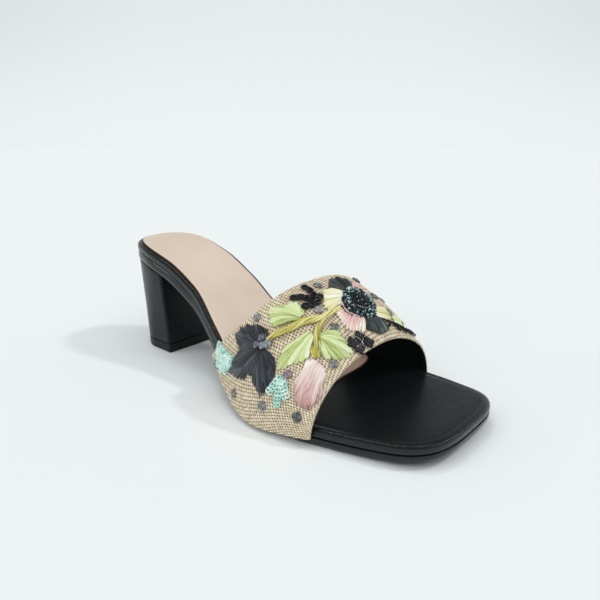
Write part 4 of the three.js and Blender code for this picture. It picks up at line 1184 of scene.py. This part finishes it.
near_knots = [(138.4, 57.4), (152.6, 90.0), (162.4, 81), (111.0, 3.2), (136.5, 9.9), (158.8, 16.2),
              (178.0, 19), (172.3, 80.0), (181.0, 64.9), (156.0, 117.2), (168.0, 115.4), (177.0, 115.2),
              (184.6, 134.4)]
far_knots = [(166.5, 130), (160, 143), (172, 151), (148, 159), (163, 167), (182, 163), (134, 172)]
sew("wool_knots", [wound_knot(place) for place in near_knots + far_knots], grey_wool, "petal_threads")
sew("mauve_knot", [wound_knot((167.0, 41.0))], mauve_wool, "petal_threads")
flower_knots = [(147.6, 50.0), (146.6, 45.4), (150.2, 46.8), (152.4, 49.0)]
sew("flower_knots", [wound_knot(place, 1.9, 1.2, 1.2) for place in flower_knots], blue_wool,
    "petal_threads")

# ROOM. A plain pale floor under a pale surround that dims overhead and to the sides. Small
# lamps stand to the right, overhead and to the left, with a broad soft one in front, and the
# camera looks from the photograph's own angle.
PALE = (0.848, 0.898, 0.906)
HIGHER_UP = 0.93  # of the brightness at eye level
OVERHEAD = 0.33
AT_THE_SIDES = 0.85
BEHIND = (-0.662, 0.75, 0)  # the way the photograph looks
world = bpy.data.worlds.new("pale_surround")
bpy.context.scene.world = world
world.use_nodes = True
air = world.node_tree
backdrop = air.nodes["Background"]
outward = air.nodes.new("ShaderNodeTexCoord")
apart = air.nodes.new("ShaderNodeSeparateXYZ")
ahead = air.nodes.new("ShaderNodeVectorMath")
ahead.operation = "DOT_PRODUCT"
ahead.inputs[1].default_value = BEHIND
air.links.new(outward.outputs["Generated"], apart.inputs[0])
air.links.new(outward.outputs["Generated"], ahead.inputs[0])


def air_fade(source, low, high, start, end):
    """A smooth change of brightness over a share of the surround."""
    fade = air.nodes.new("ShaderNodeMapRange")
    fade.interpolation_type = "SMOOTHSTEP"
    fade.inputs["From Min"].default_value, fade.inputs["From Max"].default_value = low, high
    fade.inputs["To Min"].default_value, fade.inputs["To Max"].default_value = start, end
    air.links.new(source, fade.inputs["Value"])
    return fade.outputs[0]


def air_math(operation, *terms):
    made = air.nodes.new("ShaderNodeMath")
    made.operation = operation
    for place, term in zip(made.inputs, terms):
        if isinstance(term, bpy.types.NodeSocket):
            air.links.new(term, place)
        else:
            place.default_value = term
    return made.outputs[0]


height = apart.outputs["Z"]
dimmed_above = air_math(
    "MULTIPLY", air_fade(height, 0.24, 0.5, 1, OVERHEAD), air_fade(height, 0, 0.24, 1, HIGHER_UP))
beside_it = air_fade(ahead.outputs["Value"], 0.8, 1, 1 - AT_THE_SIDES, 0)
near_floor = air_fade(height, -0.04, 0.2, 0.1, 1)
dimmed_beside = air_math("SUBTRACT", 1, air_math("MULTIPLY", beside_it, near_floor))
air.links.new(air_math("MULTIPLY", dimmed_above, dimmed_beside), backdrop.inputs["Strength"])
backdrop.inputs["Color"].default_value = (*PALE, 1)
bpy.context.scene.view_settings.view_transform = "Standard"


def add_lamp(name, toward, strength, angle, shines=True):
    """A distant lamp that shines from a direction of the frame, with or without a highlight."""
    light = bpy.data.lights.new(name, "SUN")
    light.energy, light.angle = strength, np.radians(angle)
    lamp = bpy.data.objects.new(name, light)
    lamp.rotation_euler = Vector(toward).to_track_quat("Z", "Y").to_euler()
    lamp.visible_glossy = shines
    bpy.context.scene.collection.objects.link(lamp)


add_lamp("right_lamp", (0.482, 0.424, 0.766), 0.62, 6)
add_lamp("front_panel", (0.2, -0.46, 0.86), 1.76, 100, shines=False)
add_lamp("overhead_lamp", (-0.27, 0.06, 0.966), 0.3, 10)
add_lamp("left_lamp", (-0.634, -0.735, 0.242), 0.22, 12)

floor_mesh = bpy.data.meshes.new("floor")
floor_mesh.from_pydata([(-6, -6, 0), (6, -6, 0), (6, 6, 0), (-6, 6, 0)], [], [(0, 1, 2, 3)])
floor = bpy.data.objects.new("floor", floor_mesh)
bpy.context.scene.collection.objects.link(floor)
floor_mesh.materials.append(new_finish("pale_floor", (0.83, 0.862, 0.862), 0.9, Specular_IOR_Level=0.0))

camera = bpy.data.objects.new("camera", bpy.data.cameras.new("camera"))
camera.data.lens = 32.69
camera.data.sensor_width = 36
camera.data.clip_start = 0.01
EYE = (0.3006, -0.2147, 0.1355)
azimuth, elevation = np.radians(41.43), np.radians(16.7)
right = Vector((np.cos(azimuth), np.sin(azimuth), 0))
back = Vector((np.sin(azimuth) * np.cos(elevation), -np.cos(azimuth) * np.cos(elevation),
               np.sin(elevation)))
up = back.cross(right)
aim = Matrix((right, up, back)).transposed().to_4x4()
camera.matrix_world = Matrix.Translation(EYE) @ aim
bpy.context.scene.collection.objects.link(camera)
bpy.context.scene.camera = camera
